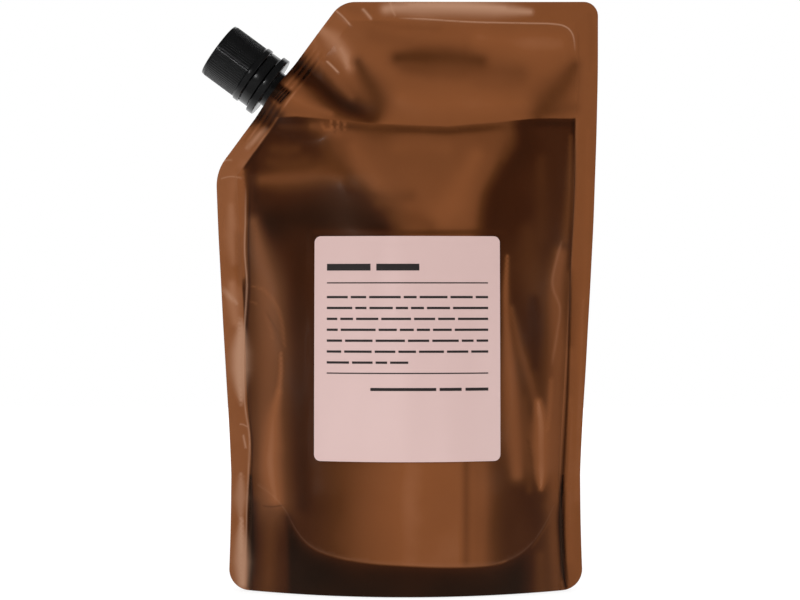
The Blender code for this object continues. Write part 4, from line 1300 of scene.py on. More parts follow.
@dataclass(frozen=True)
class FilmPainter:
    """Works out the light, sheen, clearness and relief of one panel from its marks. Millimetres."""

    shape: PouchShape
    face: Face
    marks: dict[Zone, tuple[Mark, ...]]
    headspace_light: float = 0.92
    shaded_light: float = 0.27
    weld_light: float = 1.03
    weld_falloff: float = 0.1
    mottling: float = 0.05
    mottle_size: float = 17.0
    alpha: float = 0.985
    weld_clearness: float = 0.06
    headspace_clearness: float = 0.05
    wave_relief: float = 0.45
    wave_size: float = 23.0

    def tone(self, x: np.ndarray, z: np.ndarray) -> FilmTone:
        """Tone of the film at points given in millimetres.

        Args:
            x: Across.
            z: Height.

        Returns:
            The tone at each point.
        """
        weld = self.shape.weld_depth(x * MM, z * MM) / MM
        margin = smoothstep(weld, -0.35, 0.35)
        fill = z - np.interp(x, *np.array(FILL_PATH).T)
        filled = smoothstep(-fill, -0.25, 0.25)
        inner = 1 - margin
        light = self.body_light(x, z) * filled + self.headspace_light * (1 - filled)
        # Painted shadow under the soap's edge, and a faint painted highlight line just above it
        shadow = 0.1 + 0.18 * fade(np.abs(x - 2.0), 24.0, 44.0)
        light -= shadow * filled * bell(fill, -2.2, 1.6) * inner
        light += 0.08 * bell(fill, 0.5, 0.5) * smoothstep(-x, 0.0, 14.0) * inner
        light = light * inner + (self.weld_light - self.weld_falloff * smoothstep(x, -60.0, 60.0)) * margin
        tone = FilmTone(light, np.zeros(len(x)), np.ones(len(x)), np.zeros(len(x)))
        self.shade_weld_edge(tone, weld, filled)
        zones = {Zone.BODY: filled * inner, Zone.HEADSPACE: 1 - filled, Zone.SEAL: np.ones(len(x))}
        for zone, marks in self.marks.items():
            for mark in marks:
                tone.lay(mark, x, z, zones[zone])
        self.shade_gusset(tone, x, z, margin)
        self.shade_boat(tone, x, z)
        tone.light += self.mottling * ripple(x, z, self.mottle_size, 2.5 + self.face.value) * inner
        tone.alpha = self.alpha - self.weld_clearness * margin
        tone.alpha -= self.headspace_clearness * (1 - filled) * inner
        tone.relief = self.limit_relief(tone.relief + self.waves(x, z, weld), x, z, weld)
        return tone

    def body_light(self, x: np.ndarray, z: np.ndarray) -> np.ndarray:
        """Glow of the filled body, between a soft shadow on its left and one on its right."""
        heights, left, right, left_fade, right_fade, level = np.array(GLOW_EDGES).T
        left_edge, right_edge = np.interp(z, heights, left), np.interp(z, heights, right)
        left_fade, right_fade = np.interp(z, heights, left_fade), np.interp(z, heights, right_fade)
        glow = smoothstep((x - left_edge) / left_fade, -1, 1)
        glow *= smoothstep((right_edge - x) / right_fade, -1, 1)
        return self.shaded_light + (np.interp(z, heights, level) - self.shaded_light) * glow

    def shade_gusset(self, tone: FilmTone, x: np.ndarray, z: np.ndarray, margin: np.ndarray) -> None:
        """Paints shade on the film where the gusset lies behind it, under the curved weld, and a faint
        painted highlight along the weld.
        """
        above = z - np.interp(x, *smooth_path(GUSSET_WELD_PATH).T)
        sides = smoothstep(x, -50.5, -47.0) * fade(x, 45.0, 56.0)
        below = smoothstep(-above, -0.4, 0.4) * (1 - margin) * sides
        shadow = 0.03 + 0.2 * np.exp(np.minimum(above, 0.0) / 2.2)
        tone.light += (shadow - tone.light) * below * 0.98
        tone.sheen *= 1 - below
        tone.sheen += 0.07 * bell(above, 0.7, 0.45) * (1 - margin) * (np.abs(x) < 62)

    def shade_weld_edge(self, tone: FilmTone, weld: np.ndarray, filled: np.ndarray) -> None:
        """Thin painted shadow line inside the welds' inner edge and a thin painted sheen line on it."""
        tone.light *= 1 - 0.5 * filled * bell(weld, -0.8, 0.7)
        tone.sheen += 0.05 * filled * bell(weld, 0.5, 0.45)

    def shade_boat(self, tone: FilmTone, x: np.ndarray, z: np.ndarray) -> None:
        """Film over the spout's weld boat: painted highlight and shade lines over its ribs, a darker line on
        the edge, dark ends and the dark neck behind.
        """
        along, inwards = self.shape.slant_place(x, z)
        for centre, width, reach in ((-11.2, 4.6, 8.5), (12.8, 3.2, 12.0)):
            end = np.exp(-(np.abs((along - centre) / width) ** 3)) * fade(inwards, reach - 3, reach + 2)
            tone.light += (0.13 - tone.light) * 0.88 * end
            tone.sheen *= 1 - end
        edge = fade(np.abs(along), 15.0, 21.0) * bell(inwards, 0.0, 1.7)
        tone.light += (0.06 - tone.light) * 0.8 * edge
        near = fade(np.abs(along), 17.0, 27.0) * fade(inwards, 8.0, 10.0)
        for place, strength in BOAT_LINES:
            tone.light += strength * near * bell(inwards, place, 0.38)
        neck = inwards - 0.12 * along
        stack = fade(np.abs(along), 2.4, 4.6) * fade(neck, 5.6, 6.9)
        rings = (0.5 + 0.5 * np.cos(2 * math.pi * neck / 1.2)) ** 2
        bars = 0.01 + 0.3 * smoothstep(neck, 0.5, 4.0) * rings
        tone.light += (bars - tone.light) * 0.96 * stack

    def waves(self, x: np.ndarray, z: np.ndarray, weld: np.ndarray) -> np.ndarray:
        """Slight waviness of the body film, in millimetres outwards."""
        inside_welds = smoothstep(-weld, 1.5, 9.0)
        return self.wave_relief * ripple(x, z, self.wave_size, 7.0 + self.face.value) * inside_welds

    def limit_relief(
        self, relief: np.ndarray, x: np.ndarray, z: np.ndarray, weld: np.ndarray
    ) -> np.ndarray:
        """Keeps the relief clear of the gusset, the welded margins, the boat and the label.

        Args:
            relief: Relief outwards, in millimetres.
            x: Across.
            z: Height.
            weld: How far each point lies inside the welds.

        Returns:
            The relief that is left.
        """
        relief = np.where(weld > -2.0, np.clip(relief, -0.05, 0.3), relief)
        low = smoothstep(z, 46.0, 56.0)
        relief = relief * low + np.clip(relief, 0.0, 0.12) * (1 - low)
        along, inwards = self.shape.slant_place(x, z)
        boat = fade(np.abs(along), 16.0, 21.0) * fade(inwards, 9.0, 14.0)
        relief = relief * (1 - boat) + np.clip(relief, 0.0, 0.2) * boat
        if self.face is Face.FRONT:
            dx = np.abs(x - LABEL_CENTRE[0]) - LABEL_WIDTH / 2
            dz = np.abs(z - LABEL_CENTRE[1]) - LABEL_HEIGHT / 2
            relief = relief * smoothstep(np.maximum(dx, dz), 0.8, 4.0)
        return relief


@dataclass
class FilmPouch:
    """The pouch itself: two film panels, the bottom gusset and the soap inside."""

    shape: PouchShape
    finishes: Finishes
    front_spacing: float = 1.2 * MM
    back_spacing: float = 1.5 * MM
    wave_height: float = 0.385 * MM
    gusset_steps: int = 44
    margin_steps: int = 6
    soap_steps: int = 36
    soap_reach: float = 0.965
    soap_rows: int = 60

    def __post_init__(self) -> None:
        """Prepares one painter for each face."""
        front = {
            Zone.BODY: (*UPPER_BODY_MARKS, *SIDE_MARKS, *LOW_BODY_MARKS),
            Zone.HEADSPACE: HEADSPACE_MARKS,
            Zone.SEAL: SEAL_MARKS,
        }
        back = {
            Zone.BODY: (*BACK_BODY_MARKS, *LOW_BODY_MARKS),
            Zone.HEADSPACE: BACK_HEADSPACE_MARKS,
            Zone.SEAL: BACK_SEAL_MARKS,
        }
        self.painters = {
            Face.FRONT: FilmPainter(self.shape, Face.FRONT, front),
            Face.BACK: FilmPainter(self.shape, Face.BACK, back),
        }

    def margin_wave(self, x: np.ndarray, z: np.ndarray) -> np.ndarray:
        """Sideways waviness of the welded margins, the same for both panels, along Y."""
        weld = self.shape.weld_depth(x, z)
        away = smoothstep(weld, -6 * MM, 7 * MM)
        along, inwards = self.shape.slant_coordinates(x, z)
        clear = 1 - fade(np.abs(along), 22 * MM, 34 * MM) * fade(inwards, 10 * MM, 20 * MM)
        swell = np.sin(z / (9.3 * MM) + np.where(x > 0, 1.1, 0.2))
        swell += 0.6 * np.sin(z / (5.1 * MM) + x / (14 * MM))
        return self.wave_height * swell * away * clear * smoothstep(z, 52 * MM, 75 * MM)

    def boat_points(self) -> np.ndarray:
        """Close mesh points over the weld boat and closer ones over the neck, in millimetres."""
        seat = np.array(self.shape.spout_seat - self.shape.slant_out * 4.6 * MM) / MM

        def grid(half: float, spacing: float, half_length: float, reach: float) -> np.ndarray:
            """Points round the seat that lie within a length and a reach of the slanted edge."""
            points = lattice(seat - half, seat + half, spacing)
            along, inwards = self.shape.slant_place(*points.T)
            return points[(np.abs(along) < half_length) & (inwards > 0.3) & (inwards < reach)]

        neck, neck_reach = 3.7, 7.2
        close = grid(30, 0.55, 24, 9)
        along, inwards = self.shape.slant_place(*close.T)
        close = close[(np.abs(along) >= neck) | (inwards >= neck_reach)]
        return np.vstack([close, grid(8, 0.3, neck, neck_reach)])

    def panel(self, face: Face, spacing: float) -> bpy.types.Object:
        """One film panel.

        Args:
            face: Front or back.
            spacing: Distance between its mesh points.

        Returns:
            The piece, with its masks stored.
        """
        painter = self.painters[face]
        thin = [m for marks in painter.marks.values() for m in marks if m.edge is Edge.FINE]
        rows = [path_rows(smooth_path(m.path), float(np.max(m.width)) * 0.9, 0.7) for m in thin]
        weld = self.shape.weld_line(0.9 * MM)
        lines = ((np.array([tuple(p / MM) for p in weld]), 0.8),)
        lines += ((smooth_path(FILL_PATH), 0.8), (smooth_path(GUSSET_WELD_PATH), 1.0))
        rows += [path_rows(line, half_width, 0.9) for line, half_width in lines]
        extra = np.vstack([*rows, self.boat_points()]) * MM
        flat, faces = cut_sheet(self.shape.outline(spacing), weld, extra, spacing)
        x, z = flat[:, 0], flat[:, 1]
        tone = painter.tone(x / MM, z / MM)
        depth = self.shape.inner_depth(x, z) + tone.relief * MM
        points = np.column_stack([x, face.value * depth + self.margin_wave(x, z), z])
        turned_faces = faces if face is Face.FRONT else [f[::-1] for f in faces]
        piece = new_piece(f"film_{face.name.lower()}", points, turned_faces, self.finishes.film)
        for name in ("light", "sheen", "alpha"):
            store_mask(piece, f"film_{name}", np.clip(getattr(tone, name), 0, LIGHT_TOP))
        return thicken(piece, self.shape.film)

    def gusset_column(self, share: float, margin: float) -> list[Vector]:
        """Points across the gusset from the front foot to the back foot."""
        shape = self.shape

        def across(z: float) -> float:
            """X of the column at a height."""
            return share * float(shape.open_half_width(z)) + margin

        radius = shape.bottom_corner
        into_corner = max(0.0, abs(across(0.0)) - (shape.half_width(radius) - radius))
        low = radius - math.sqrt(max(0.0, radius**2 - into_corner**2))
        weld = shape.skirt_top(share)
        front = []
        for k in range(SKIRT_STEPS + 1):
            z = low + (weld - low) * k / SKIRT_STEPS
            depth = float(shape.spine_depth(z)) * (1 - share**2) + shape.layer_gap / 2
            front.append(Vector((across(z), shape.film + 0.01 * MM - depth, z)))
        reach = -front[-1].y
        for part in WEB_PARTS:
            front.append(Vector((across(weld), -reach * part, shape.web_height(share, part))))
        back = [Vector((p.x, -p.y, p.z)) for p in reversed(front)]
        return [*front, Vector((across(weld), 0.0, shape.web_height(share, 0.0))), *back]

    def gusset(self) -> bpy.types.Object:
        """The bottom web, welded inside both panels and folded up in the side welds."""
        shape = self.shape
        steps, ends = self.gusset_steps, self.margin_steps
        right = [(math.sin(math.pi / 2 * k / steps) ** 0.9, 0.0) for k in range(steps + 1)]
        right += [(1.0, shape.side_weld * k / ends) for k in range(1, ends + 1)]
        stations = [(-share, -margin) for share, margin in reversed(right[1:])] + right
        columns = [self.gusset_column(*station) for station in stations]
        count = len(columns[0])
        points = [p for column in columns for p in column]
        faces = []
        for i in range(0, len(points) - count, count):
            faces += [(k, k + count, k + count + 1, k + 1) for k in range(i, i + count - 1)]
        piece = new_piece("film_gusset", points, faces, self.finishes.film)
        heights = np.array([p.z for p in points]) / MM
        reach = np.abs([p.y for p in points]) / MM
        # Painted shade on the gusset, darkest near the floor, with soft bands along its depth, and a faint
        # painted sheen low down
        store_mask(piece, "film_light", 0.55 - 0.25 * np.exp(-heights / 6) + 0.1 * np.cos(reach / 4))
        store_mask(piece, "film_sheen", 0.05 * bell(heights, 2, 3))
        store_mask(piece, "film_alpha", np.full(len(points), 0.98))
        return thicken(piece, shape.film)

    def soap_section(self, share: float) -> list[Vector]:
        """Closed section through the soap at one share of the way to a side weld."""
        shape = self.shape
        lift = shape.film + shape.soap_floor_clearance
        bottom = max(shape.skirt_top(share), shape.fold_line(share)) + lift
        heights = np.linspace(shape.fill_height, bottom, self.soap_rows)
        left, right = shape.open_left(heights), shape.open_half_width(heights)
        x = (left + right) / 2 + share * (right - left) / 2
        smooth = shape.bulge(x, heights) + shape.layer_gap / 2
        sides = {}
        for face in Face:
            held = smooth + self.painters[face].tone(x / MM, heights / MM).relief * MM
            sides[face] = np.maximum(np.minimum(smooth, held) - shape.soap_clearance, 0.15 * MM)
        front, back = (
            [Vector((a, face.value * d, z)) for a, d, z in zip(x, sides[face], heights)]
            for face in (Face.FRONT, Face.BACK)
        )
        reach = sides[Face.FRONT][-1]
        floor = []
        for part in (*FLOOR_PARTS, 0.0, *(-part for part in reversed(FLOOR_PARTS))):
            height = max(shape.web_height(share, part), shape.fold_line(share)) + lift
            floor.append(Vector((front[-1].x, -reach * part, height)))
        return [*front, *floor, *reversed(back)]

    def soap(self) -> bpy.types.Object:
        """Liquid soap up to the fill line, clear of the film."""
        steps = range(-self.soap_steps, self.soap_steps + 1)
        shares = [self.soap_reach * math.sin(math.pi / 2 * k / self.soap_steps) for k in steps]
        points, faces = loft([self.soap_section(share) for share in shares])
        return new_piece("soap_fill", points, faces, self.finishes.soap, recalculate=True)

    def build(self) -> None:
        """Makes the pieces and fits them to the frame."""
        fit(self.panel(Face.FRONT, self.front_spacing), Body.PACK, Slot.FILM, "front_panel")
        fit(self.panel(Face.BACK, self.back_spacing), Body.PACK, Slot.FILM, "back_panel")
        fit(self.gusset(), Body.PACK, Slot.FILM, "bottom_gusset")
        fit(self.soap(), Body.PACK, Slot.LIQUID, "soap")


class RibRing:
    """Geometry Nodes tree that sets bars side by side in a ring, with named inputs for their sizes."""

    tree: bpy.types.NodeTree | None = None

    @classmethod
    def build_tree(cls) -> bpy.types.NodeTree:
        """Makes the tree."""
        tree = bpy.data.node_groups.new("ring_of_ribs", "GeometryNodeTree")
        for name, kind in (
            ("Count", "Int"), ("Ring Radius", "Float"), ("Low", "Float"), ("High", "Float"),
            ("Rib Width", "Float"), ("Rib Depth", "Float"), ("Sides", "Int"), ("Finish", "Material"),
        ):
            tree.interface.new_socket(name, in_out="INPUT", socket_type=f"NodeSocket{kind}")
        tree.interface.new_socket("Geometry", in_out="OUTPUT", socket_type="NodeSocketGeometry")
        bench = NodeBench(tree)
        given = bench.add("NodeGroupInput").outputs
        low = bench.add("ShaderNodeCombineXYZ", {"Z": given["Low"]}).outputs[0]
        high = bench.add("ShaderNodeCombineXYZ", {"Z": given["High"]}).outputs[0]
        line = bench.add("GeometryNodeCurvePrimitiveLine", {"Start": low, "End": high}).outputs[0]
        inputs = {"Resolution": given["Sides"], "Radius": 1.0}
        section = bench.add("GeometryNodeCurvePrimitiveCircle", inputs).outputs[0]
        inputs = {"Curve": line, "Profile Curve": section, "Fill Caps": True}
        bar = bench.add("GeometryNodeCurveToMesh", inputs).outputs[0]
        half_width = bench.math("MULTIPLY", given["Rib Width"], 0.5)
        inputs = {"X": given["Rib Depth"], "Y": half_width, "Z": 1.0}
        scale = bench.add("ShaderNodeCombineXYZ", inputs).outputs[0]
        bar = bench.add("GeometryNodeTransform", {"Geometry": bar, "Scale": scale}).outputs[0]
        inputs = {"Vertices": given["Count"], "Radius": given["Ring Radius"]}
        ring = bench.add("GeometryNodeMeshCircle", inputs).outputs[0]
        place = {"Vector": bench.add("GeometryNodeInputPosition").outputs[0]}
        turn = bench.add("FunctionNodeAlignRotationToVector", place, axis="X", pivot_axis="Z").outputs[0]
        inputs = {"Points": ring, "Instance": bar, "Rotation": turn}
        copies = bench.add("GeometryNodeInstanceOnPoints", inputs).outputs[0]
        real = bench.add("GeometryNodeRealizeInstances", {0: copies}).outputs[0]
        smooth = bench.add("GeometryNodeSetShadeSmooth", {0: real}).outputs[0]
        inputs = {"Geometry": smooth, "Material": given["Finish"]}
        bench.add("NodeGroupOutput", {0: bench.add("GeometryNodeSetMaterial", inputs).outputs[0]})
        return tree

    @classmethod
    def make(cls, name: str, place: Matrix, values: dict[str, object]) -> bpy.types.Object:
        """One ring of bars as a plain mesh.

        Args:
            name: Piece name.
            place: Where the ring's axis stands.
            values: Value of each named input.

        Returns:
            The piece.
        """
        if cls.tree is None:
            cls.tree = cls.build_tree()
        carrier = bpy.data.objects.new(name, bpy.data.meshes.new(name))
        bpy.context.scene.collection.objects.link(carrier)
        nodes = carrier.modifiers.new("Ribs", "NODES")
        nodes.node_group = cls.tree
        for item in cls.tree.interface.items_tree:
            if item.in_out == "INPUT":
                nodes[item.identifier] = values[item.name]
        make_real(carrier)
        carrier.data.transform(place)
        return carrier


@dataclass
class SpoutFitting:
    """The spout moulding, the tamper band and the screw cap, on the spout's own axis. Metres."""

    shape: PouchShape
    finishes: Finishes
    sides: int = 112
    bore_radius: float = 7.0 * MM
    neck_radius: float = 8.1 * MM
    boat_depth: float = 8.0 * MM
    boat_ribs: int = 4
    boat_groove: float = 0.4 * MM
    flange_radius: float = 13.6 * MM
    flange_low: float = 2.4 * MM
    flange_high: float = 5.4 * MM
    upper_neck_radius: float = 9.3 * MM
    bead_low: float = 7.6 * MM
    bead_high: float = 9.4 * MM
    bead_radius: float = 10.5 * MM
    mouth: float = 27.9 * MM
    thread_radius: float = 10.15 * MM
    thread_pitch: float = 3.0 * MM
    thread_turns: float = 3.4
    thread_start: float = 3.2 * MM
    thread_sides: int = 72
    thread_foot: float = 0.8 * MM
    thread_crest: float = 0.3 * MM
    thread_sink: float = 0.15 * MM
    band_low: float = 5.9 * MM
    band_high: float = 10.0 * MM
    band_radius: float = 12.2 * MM
    band_wall: float = 1.3 * MM
    band_lip_wall: float = 2.3 * MM
    band_lip_height: float = 1.3 * MM
    bridges: int = 10
    bridge_inset: float = 0.75 * MM
    bridge_overlap: float = 0.2 * MM
    bridge_gap: float = 0.03 * MM
    bridge_width: float = 0.9 * MM
    bridge_depth: float = 0.35 * MM
    bridge_sides: int = 8
    cap_low: float = 10.4 * MM
    cap_seat: float = 28.2 * MM
    cap_high: float = 29.7 * MM
    cap_radius: float = 12.2 * MM
    cap_wall: float = 1.6 * MM
    cap_bead_radius: float = 12.8 * MM
    cap_bead_high: float = 13.3 * MM
    rib_depth: float = 0.14 * MM
    rib_width: float = 0.7 * MM
    rib_foot_gap: float = 0.25 * MM
    rib_top_gap: float = 1.3 * MM
    rib_sides: int = 10
    ribs: int = 72
    boat_groove_share: float = 0.8
    moulding_edge: float = 0.35 * MM
    band_edge: float = 0.3 * MM
    cap_edge: float = 0.5 * MM
    plug_radius: float = 6.7 * MM
    plug_wall: float = 1.1 * MM
    plug_length: float = 2.6 * MM

    def boat_ring(self, height: float, inset: float = 0.0) -> list[Vector]:
        """Canoe-shaped outline of the weld boat at one height."""
        length = self.shape.boat_half_length - 3 * inset
        ring = []
        for ray in circle(1.0, height, self.sides):
            half_length = self.shape.boat_half_length
            width = float(self.shape.boat_width(ray.x * half_length, half_length))
            width *= 1 - inset / self.shape.boat_half_width
            ring.append(Vector((ray.x * length, math.copysign(width, ray.y), height)))
        return ring

    def placed(self, name: str, points: list[Vector], faces: Faces) -> bpy.types.Object:
        """A black plastic piece set on the spout's axis."""
        place = self.shape.spout_place()
        return new_piece(name, [place @ p for p in points], faces, self.finishes.plastic, recalculate=True)

    def spout(self) -> bpy.types.Object:
        """Ribbed weld boat, neck, flange, bead and bore in one moulding."""
        share = self.boat_groove_share
        rib = self.boat_depth / (self.boat_ribs + (self.boat_ribs - 1) * share)
        rings = []
        height = -self.boat_depth - self.shape.layer_gap / 2
        for k in range(self.boat_ribs):
            if k:
                top = height + share * rib
                rings += [self.boat_ring(z, self.boat_groove) for z in (height, top)]
                height = top
            rings += [self.boat_ring(height), self.boat_ring(height + rib)]
            height += rib
        outside = rounded(
            [
                (self.neck_radius, height),
                (self.neck_radius, self.flange_low),
                (self.flange_radius, self.flange_low),
                (self.flange_radius, self.flange_high),
                (self.upper_neck_radius, self.flange_high),
                (self.upper_neck_radius, self.bead_low),
                (self.bead_radius, self.bead_low),
                (self.bead_radius, self.bead_low + 0.4 * (self.bead_high - self.bead_low)),
                (self.upper_neck_radius, self.bead_high),
                (self.upper_neck_radius, self.mouth),
                (self.bore_radius, self.mouth),
                (self.bore_radius, rings[0][0].z),
            ],
            self.moulding_edge,
        )
        rings += [circle(radius, h, self.sides) for radius, h in outside]
        return self.placed("spout_moulding", *loft(rings, closed=True))

    def thread(self) -> bpy.types.Object:
        """Raised thread round the neck under the cap."""
        start = self.bead_high + self.thread_start
        foot = self.upper_neck_radius - self.thread_sink
        steps = round(self.thread_sides * self.thread_turns)
        rings = []
        for k in range(steps + 1):
            angle = 2 * math.pi * self.thread_turns * k / steps
            fade = min(1.0, 10 * k / steps, 10 * (steps - k) / steps)
            crest = self.upper_neck_radius + (self.thread_radius - self.upper_neck_radius) * fade + 0.01 * MM
            low = start + self.thread_pitch * angle / (2 * math.pi)
            section = ((foot, -self.thread_foot), (crest, -self.thread_crest))
            section += ((crest, self.thread_crest), (foot, self.thread_foot))
            rings.append([Vector((r * math.cos(angle), r * math.sin(angle), low + h)) for r, h in section])
        return self.placed("spout_thread", *loft(rings))

    def tamper_band(self) -> bpy.types.Object:
        """Ring that stays on the neck, its inner lip caught under the bead."""
        inner, lip = self.band_radius - self.band_wall, self.band_radius - self.band_lip_wall
        middle = (self.band_low + self.band_high) / 2
        profile = rounded(
            [
                (self.band_radius, middle),
                (self.band_radius, self.band_high),
                (inner, self.band_high),
                (inner, self.band_low + self.band_lip_height),
                (lip, self.band_low + self.band_lip_height),
                (lip, self.band_low),
                (self.band_radius, self.band_low),
                (self.band_radius, middle - 0.05 * MM),
            ],
            self.band_edge,
        )
        return self.placed("band_ring", *turned(profile, self.sides))

    def cap(self) -> bpy.types.Object:
        """Screw cap with its bead, domed top edge, hollow and sealing plug."""
        side = self.cap_radius - self.rib_depth
        inner = self.cap_radius - self.cap_wall
        plug_low = self.cap_seat - self.plug_length
        bore = self.plug_radius - self.plug_wall
        outside = rounded(
            [
                (0.0, self.cap_high),
                (4.0 * MM, self.cap_high),
                (side - 0.3 * MM, self.cap_high - 0.04 * MM),
                (side, self.cap_high - 0.4 * MM),
                (side, self.cap_bead_high),
                (self.cap_bead_radius, self.cap_bead_high - 0.5 * MM),
                (self.cap_bead_radius, self.cap_low),
                (inner, self.cap_low),
                (inner, self.cap_seat),
                (self.plug_radius, self.cap_seat),
                (self.plug_radius, plug_low),
                (bore, plug_low),
                (bore, self.cap_seat),
                (0.0, self.cap_seat),
            ],
            self.cap_edge,
            5,
        )
        return self.placed("screw_cap", *turned(outside, self.sides))

    def bars(
        self, name: str, count: int, radius: float, ends: Point2, size: Point2, sides: int
    ) -> bpy.types.Object:
        """A ring of plastic bars round the spout's axis.

        Args:
            name: Piece name.
            count: Number of bars.
            radius: Radius of the ring.
            ends: Lower and upper height of each bar.
            size: Width and depth of each bar.
            sides: Sides of its section.

        Returns:
            The piece.
        """
        inputs = ("Count", "Ring Radius", "Low", "High", "Rib Width", "Rib Depth", "Sides", "Finish")
        values = (count, radius, *ends, *size, sides, self.finishes.plastic)
        return RibRing.make(name, self.shape.spout_place(), dict(zip(inputs, values)))

    def cap_ribs(self) -> bpy.types.Object:
        """Fine grip ribs up the side of the cap."""
        ends = (self.cap_bead_high + self.rib_foot_gap, self.cap_high - self.rib_top_gap)
        size = (self.rib_width, self.rib_depth)
        radius = self.cap_radius - self.rib_depth
        return self.bars("cap_ribs", self.ribs, radius, ends, size, self.rib_sides)

    def band_bridges(self) -> bpy.types.Object:
        """Thin bridges on the band that tear when the cap is first turned."""
        ends = (self.band_high - self.bridge_overlap, self.cap_low - self.bridge_gap)
        size = (self.bridge_width, self.bridge_depth)
        radius = self.band_radius - self.bridge_inset
        return self.bars("band_bridges", self.bridges, radius, ends, size, self.bridge_sides)

    def build(self) -> None:
        """Makes the pieces and fits them to the frame."""
        fit(self.spout(), Body.PACK, Slot.PLASTIC, "spout")
        fit(self.thread(), Body.PACK, Slot.PLASTIC)
        fit(self.tamper_band(), Body.BAND, Slot.PLASTIC, "tamper_band")
        fit(self.band_bridges(), Body.BAND, Slot.PLASTIC)
        fit(self.cap(), Body.CAP, Slot.PLASTIC, "cap")
        fit(self.cap_ribs(), Body.CAP, Slot.PLASTIC)


@dataclass
class FrontLabel:
    """The label on the front panel and its generic print. Millimetres."""

    shape: PouchShape
    finishes: Finishes
    corner: float = 2.6
    thickness: float = 0.12
    gap: float = 0.3
    spacing: float = 1.8
    print_left: float = -32.7
    print_right: float = 34.1
    text_top: float = 123.2
    text_step: float = 4.5
    text_bar: float = 0.95
    line_words: tuple[int, ...] = (7, 7, 7, 7, 7, 7, 4)
    word_sizes: Point2 = (2.6, 10.5)
    word_space: float = 1.25
    last_line_end: float = 1.0
    title_height: float = 135.6
    title_bar: float = 2.8
    rule_heights: tuple[float, ...] = (129.1, 91.8)
    rule_bar: float = 0.5
    foot_height: float = 85.2
    foot_bar: float = 1.25
    ink_lift: float = 0.012
    ink_thickness: float = 0.035
    ink_step: float = 1.2
    seed: int = 7

    def face_depth(self, x: np.ndarray, z: np.ndarray, lift: float) -> np.ndarray:
        """Half-depth of the label's back face, lifted outwards, in metres."""
        return self.shape.inner_depth(x * MM, z * MM) + self.shape.film + (self.gap + lift) * MM

    def sheet(self) -> bpy.types.Object:
        """The paper, with rounded corners, following the panel."""
        half = Vector((LABEL_WIDTH / 2, LABEL_HEIGHT / 2)) * MM
        middle = Vector(LABEL_CENTRE) * MM
        corners = [middle + Vector((half.x * a, half.y * b)) for a, b in ((-1, -1), (1, -1), (1, 1), (-1, 1))]
        outline: list[Vector] = []
        for k, corner in enumerate(corners):
            arc = fillet(corners[k - 1], corner, corners[(k + 1) % 4], self.corner * MM, 8)
            if outline:
                outline += stretch(outline[-1], arc[0], self.spacing * MM)
            outline += arc
        outline += stretch(outline[-1], outline[0], self.spacing * MM)
        flat, faces = cut_sheet(outline, [], np.empty((0, 2)), self.spacing * MM)
        depth = self.face_depth(flat[:, 0] / MM, flat[:, 1] / MM, 0.0)
        points = np.column_stack([flat[:, 0], -depth, flat[:, 1]])
        piece = new_piece("label_sheet", points, faces, self.finishes.paper)
        return thicken(piece, self.thickness * MM)

    def bars(self) -> list[tuple[float, float, float, float]]:
        """Printed bars as (left, right, middle height, bar height)."""
        chance = random.Random(self.seed)
        start, end = self.print_left, self.print_right
        bars = [(start, end, z, self.rule_bar) for z in self.rule_heights]
        bars += [(*ends, self.title_height, self.title_bar) for ends in ((start, -14.6), (-12.2, 5.6))]
        for line, count in enumerate(self.line_words):
            z = self.text_top - line * self.text_step
            right = self.last_line_end if line == len(self.line_words) - 1 else end
            words = [chance.uniform(*self.word_sizes) for _ in range(count)]
            scale = (right - start - self.word_space * (count - 1)) / sum(words)
            left = start
            for word in words:
                bars.append((left, left + word * scale, z, self.text_bar))
                left += word * scale + self.word_space
        foot = ((-14.6, 12.5), (13.9, 23.0), (24.6, end))
        return bars + [(*ends, self.foot_height, self.foot_bar) for ends in foot]

    def printing(self) -> bpy.types.Object:
        """Ink of the two rules and of the bars that stand for words."""
        points: list[tuple] = []
        faces: Faces = []
        for left, right, middle, height in self.bars():
            count = max(2, math.ceil((right - left) / self.ink_step)) + 1
            x = np.linspace(left, right, count)
            for z in (middle - height / 2, middle + height / 2):
                depth = self.face_depth(x, np.full(count, z), self.thickness + self.ink_lift)
                points += [(a * MM, -d, z * MM) for a, d in zip(x, depth)]
            start = len(points) - 2 * count
            faces += [(k, k + 1, k + count + 1, k + count) for k in range(start, start + count - 1)]
        piece = new_piece("label_print", points, faces, self.finishes.ink)
        return thicken(piece, self.ink_thickness * MM)

    def build(self) -> None:
        """Makes the pieces and fits them to the frame."""
        fit(self.sheet(), Body.PACK, Slot.PAPER, "label")
        fit(self.printing(), Body.PACK, Slot.PAPER)


def fit(piece: bpy.types.Object, body: Body, slot: Slot, *nodes: str) -> None:
    """Ties a finished piece to the frame and reports it.

    Args:
        piece: The piece.
        body: The body that it moves with.
        slot: The record's material slot; not used.
        *nodes: CAD nodes that it stands for.
    """
    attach(piece, body.value)
    if nodes:
        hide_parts(*nodes)
    mesh = piece.data
    LOG.info("%s: %d points, %d faces", piece.name, len(mesh.vertices), len(mesh.polygons))


@dataclass(frozen=True)
class SoftBox:
    """An area light aimed at the middle of the pouch, mirrored in it or not."""

    name: str
    place: tuple[float, float, float]
    size: Point2
    power: float
    mirrored: bool = False

    def light(self) -> None:
        """Puts it in the scene."""
        data = bpy.data.lights.new(self.name, "AREA")
        data.shape = "RECTANGLE"
        data.size, data.size_y = self.size
        data.energy = self.power
        lamp = bpy.data.objects.new(self.name, data)
        lamp.location = self.place
        lamp.visible_glossy = self.mirrored
        aim = Vector((0, 0, 0.12)) - Vector(self.place)
        lamp.rotation_euler = aim.to_track_quat("-Z", "Y").to_euler()
        bpy.context.scene.collection.objects.link(lamp)


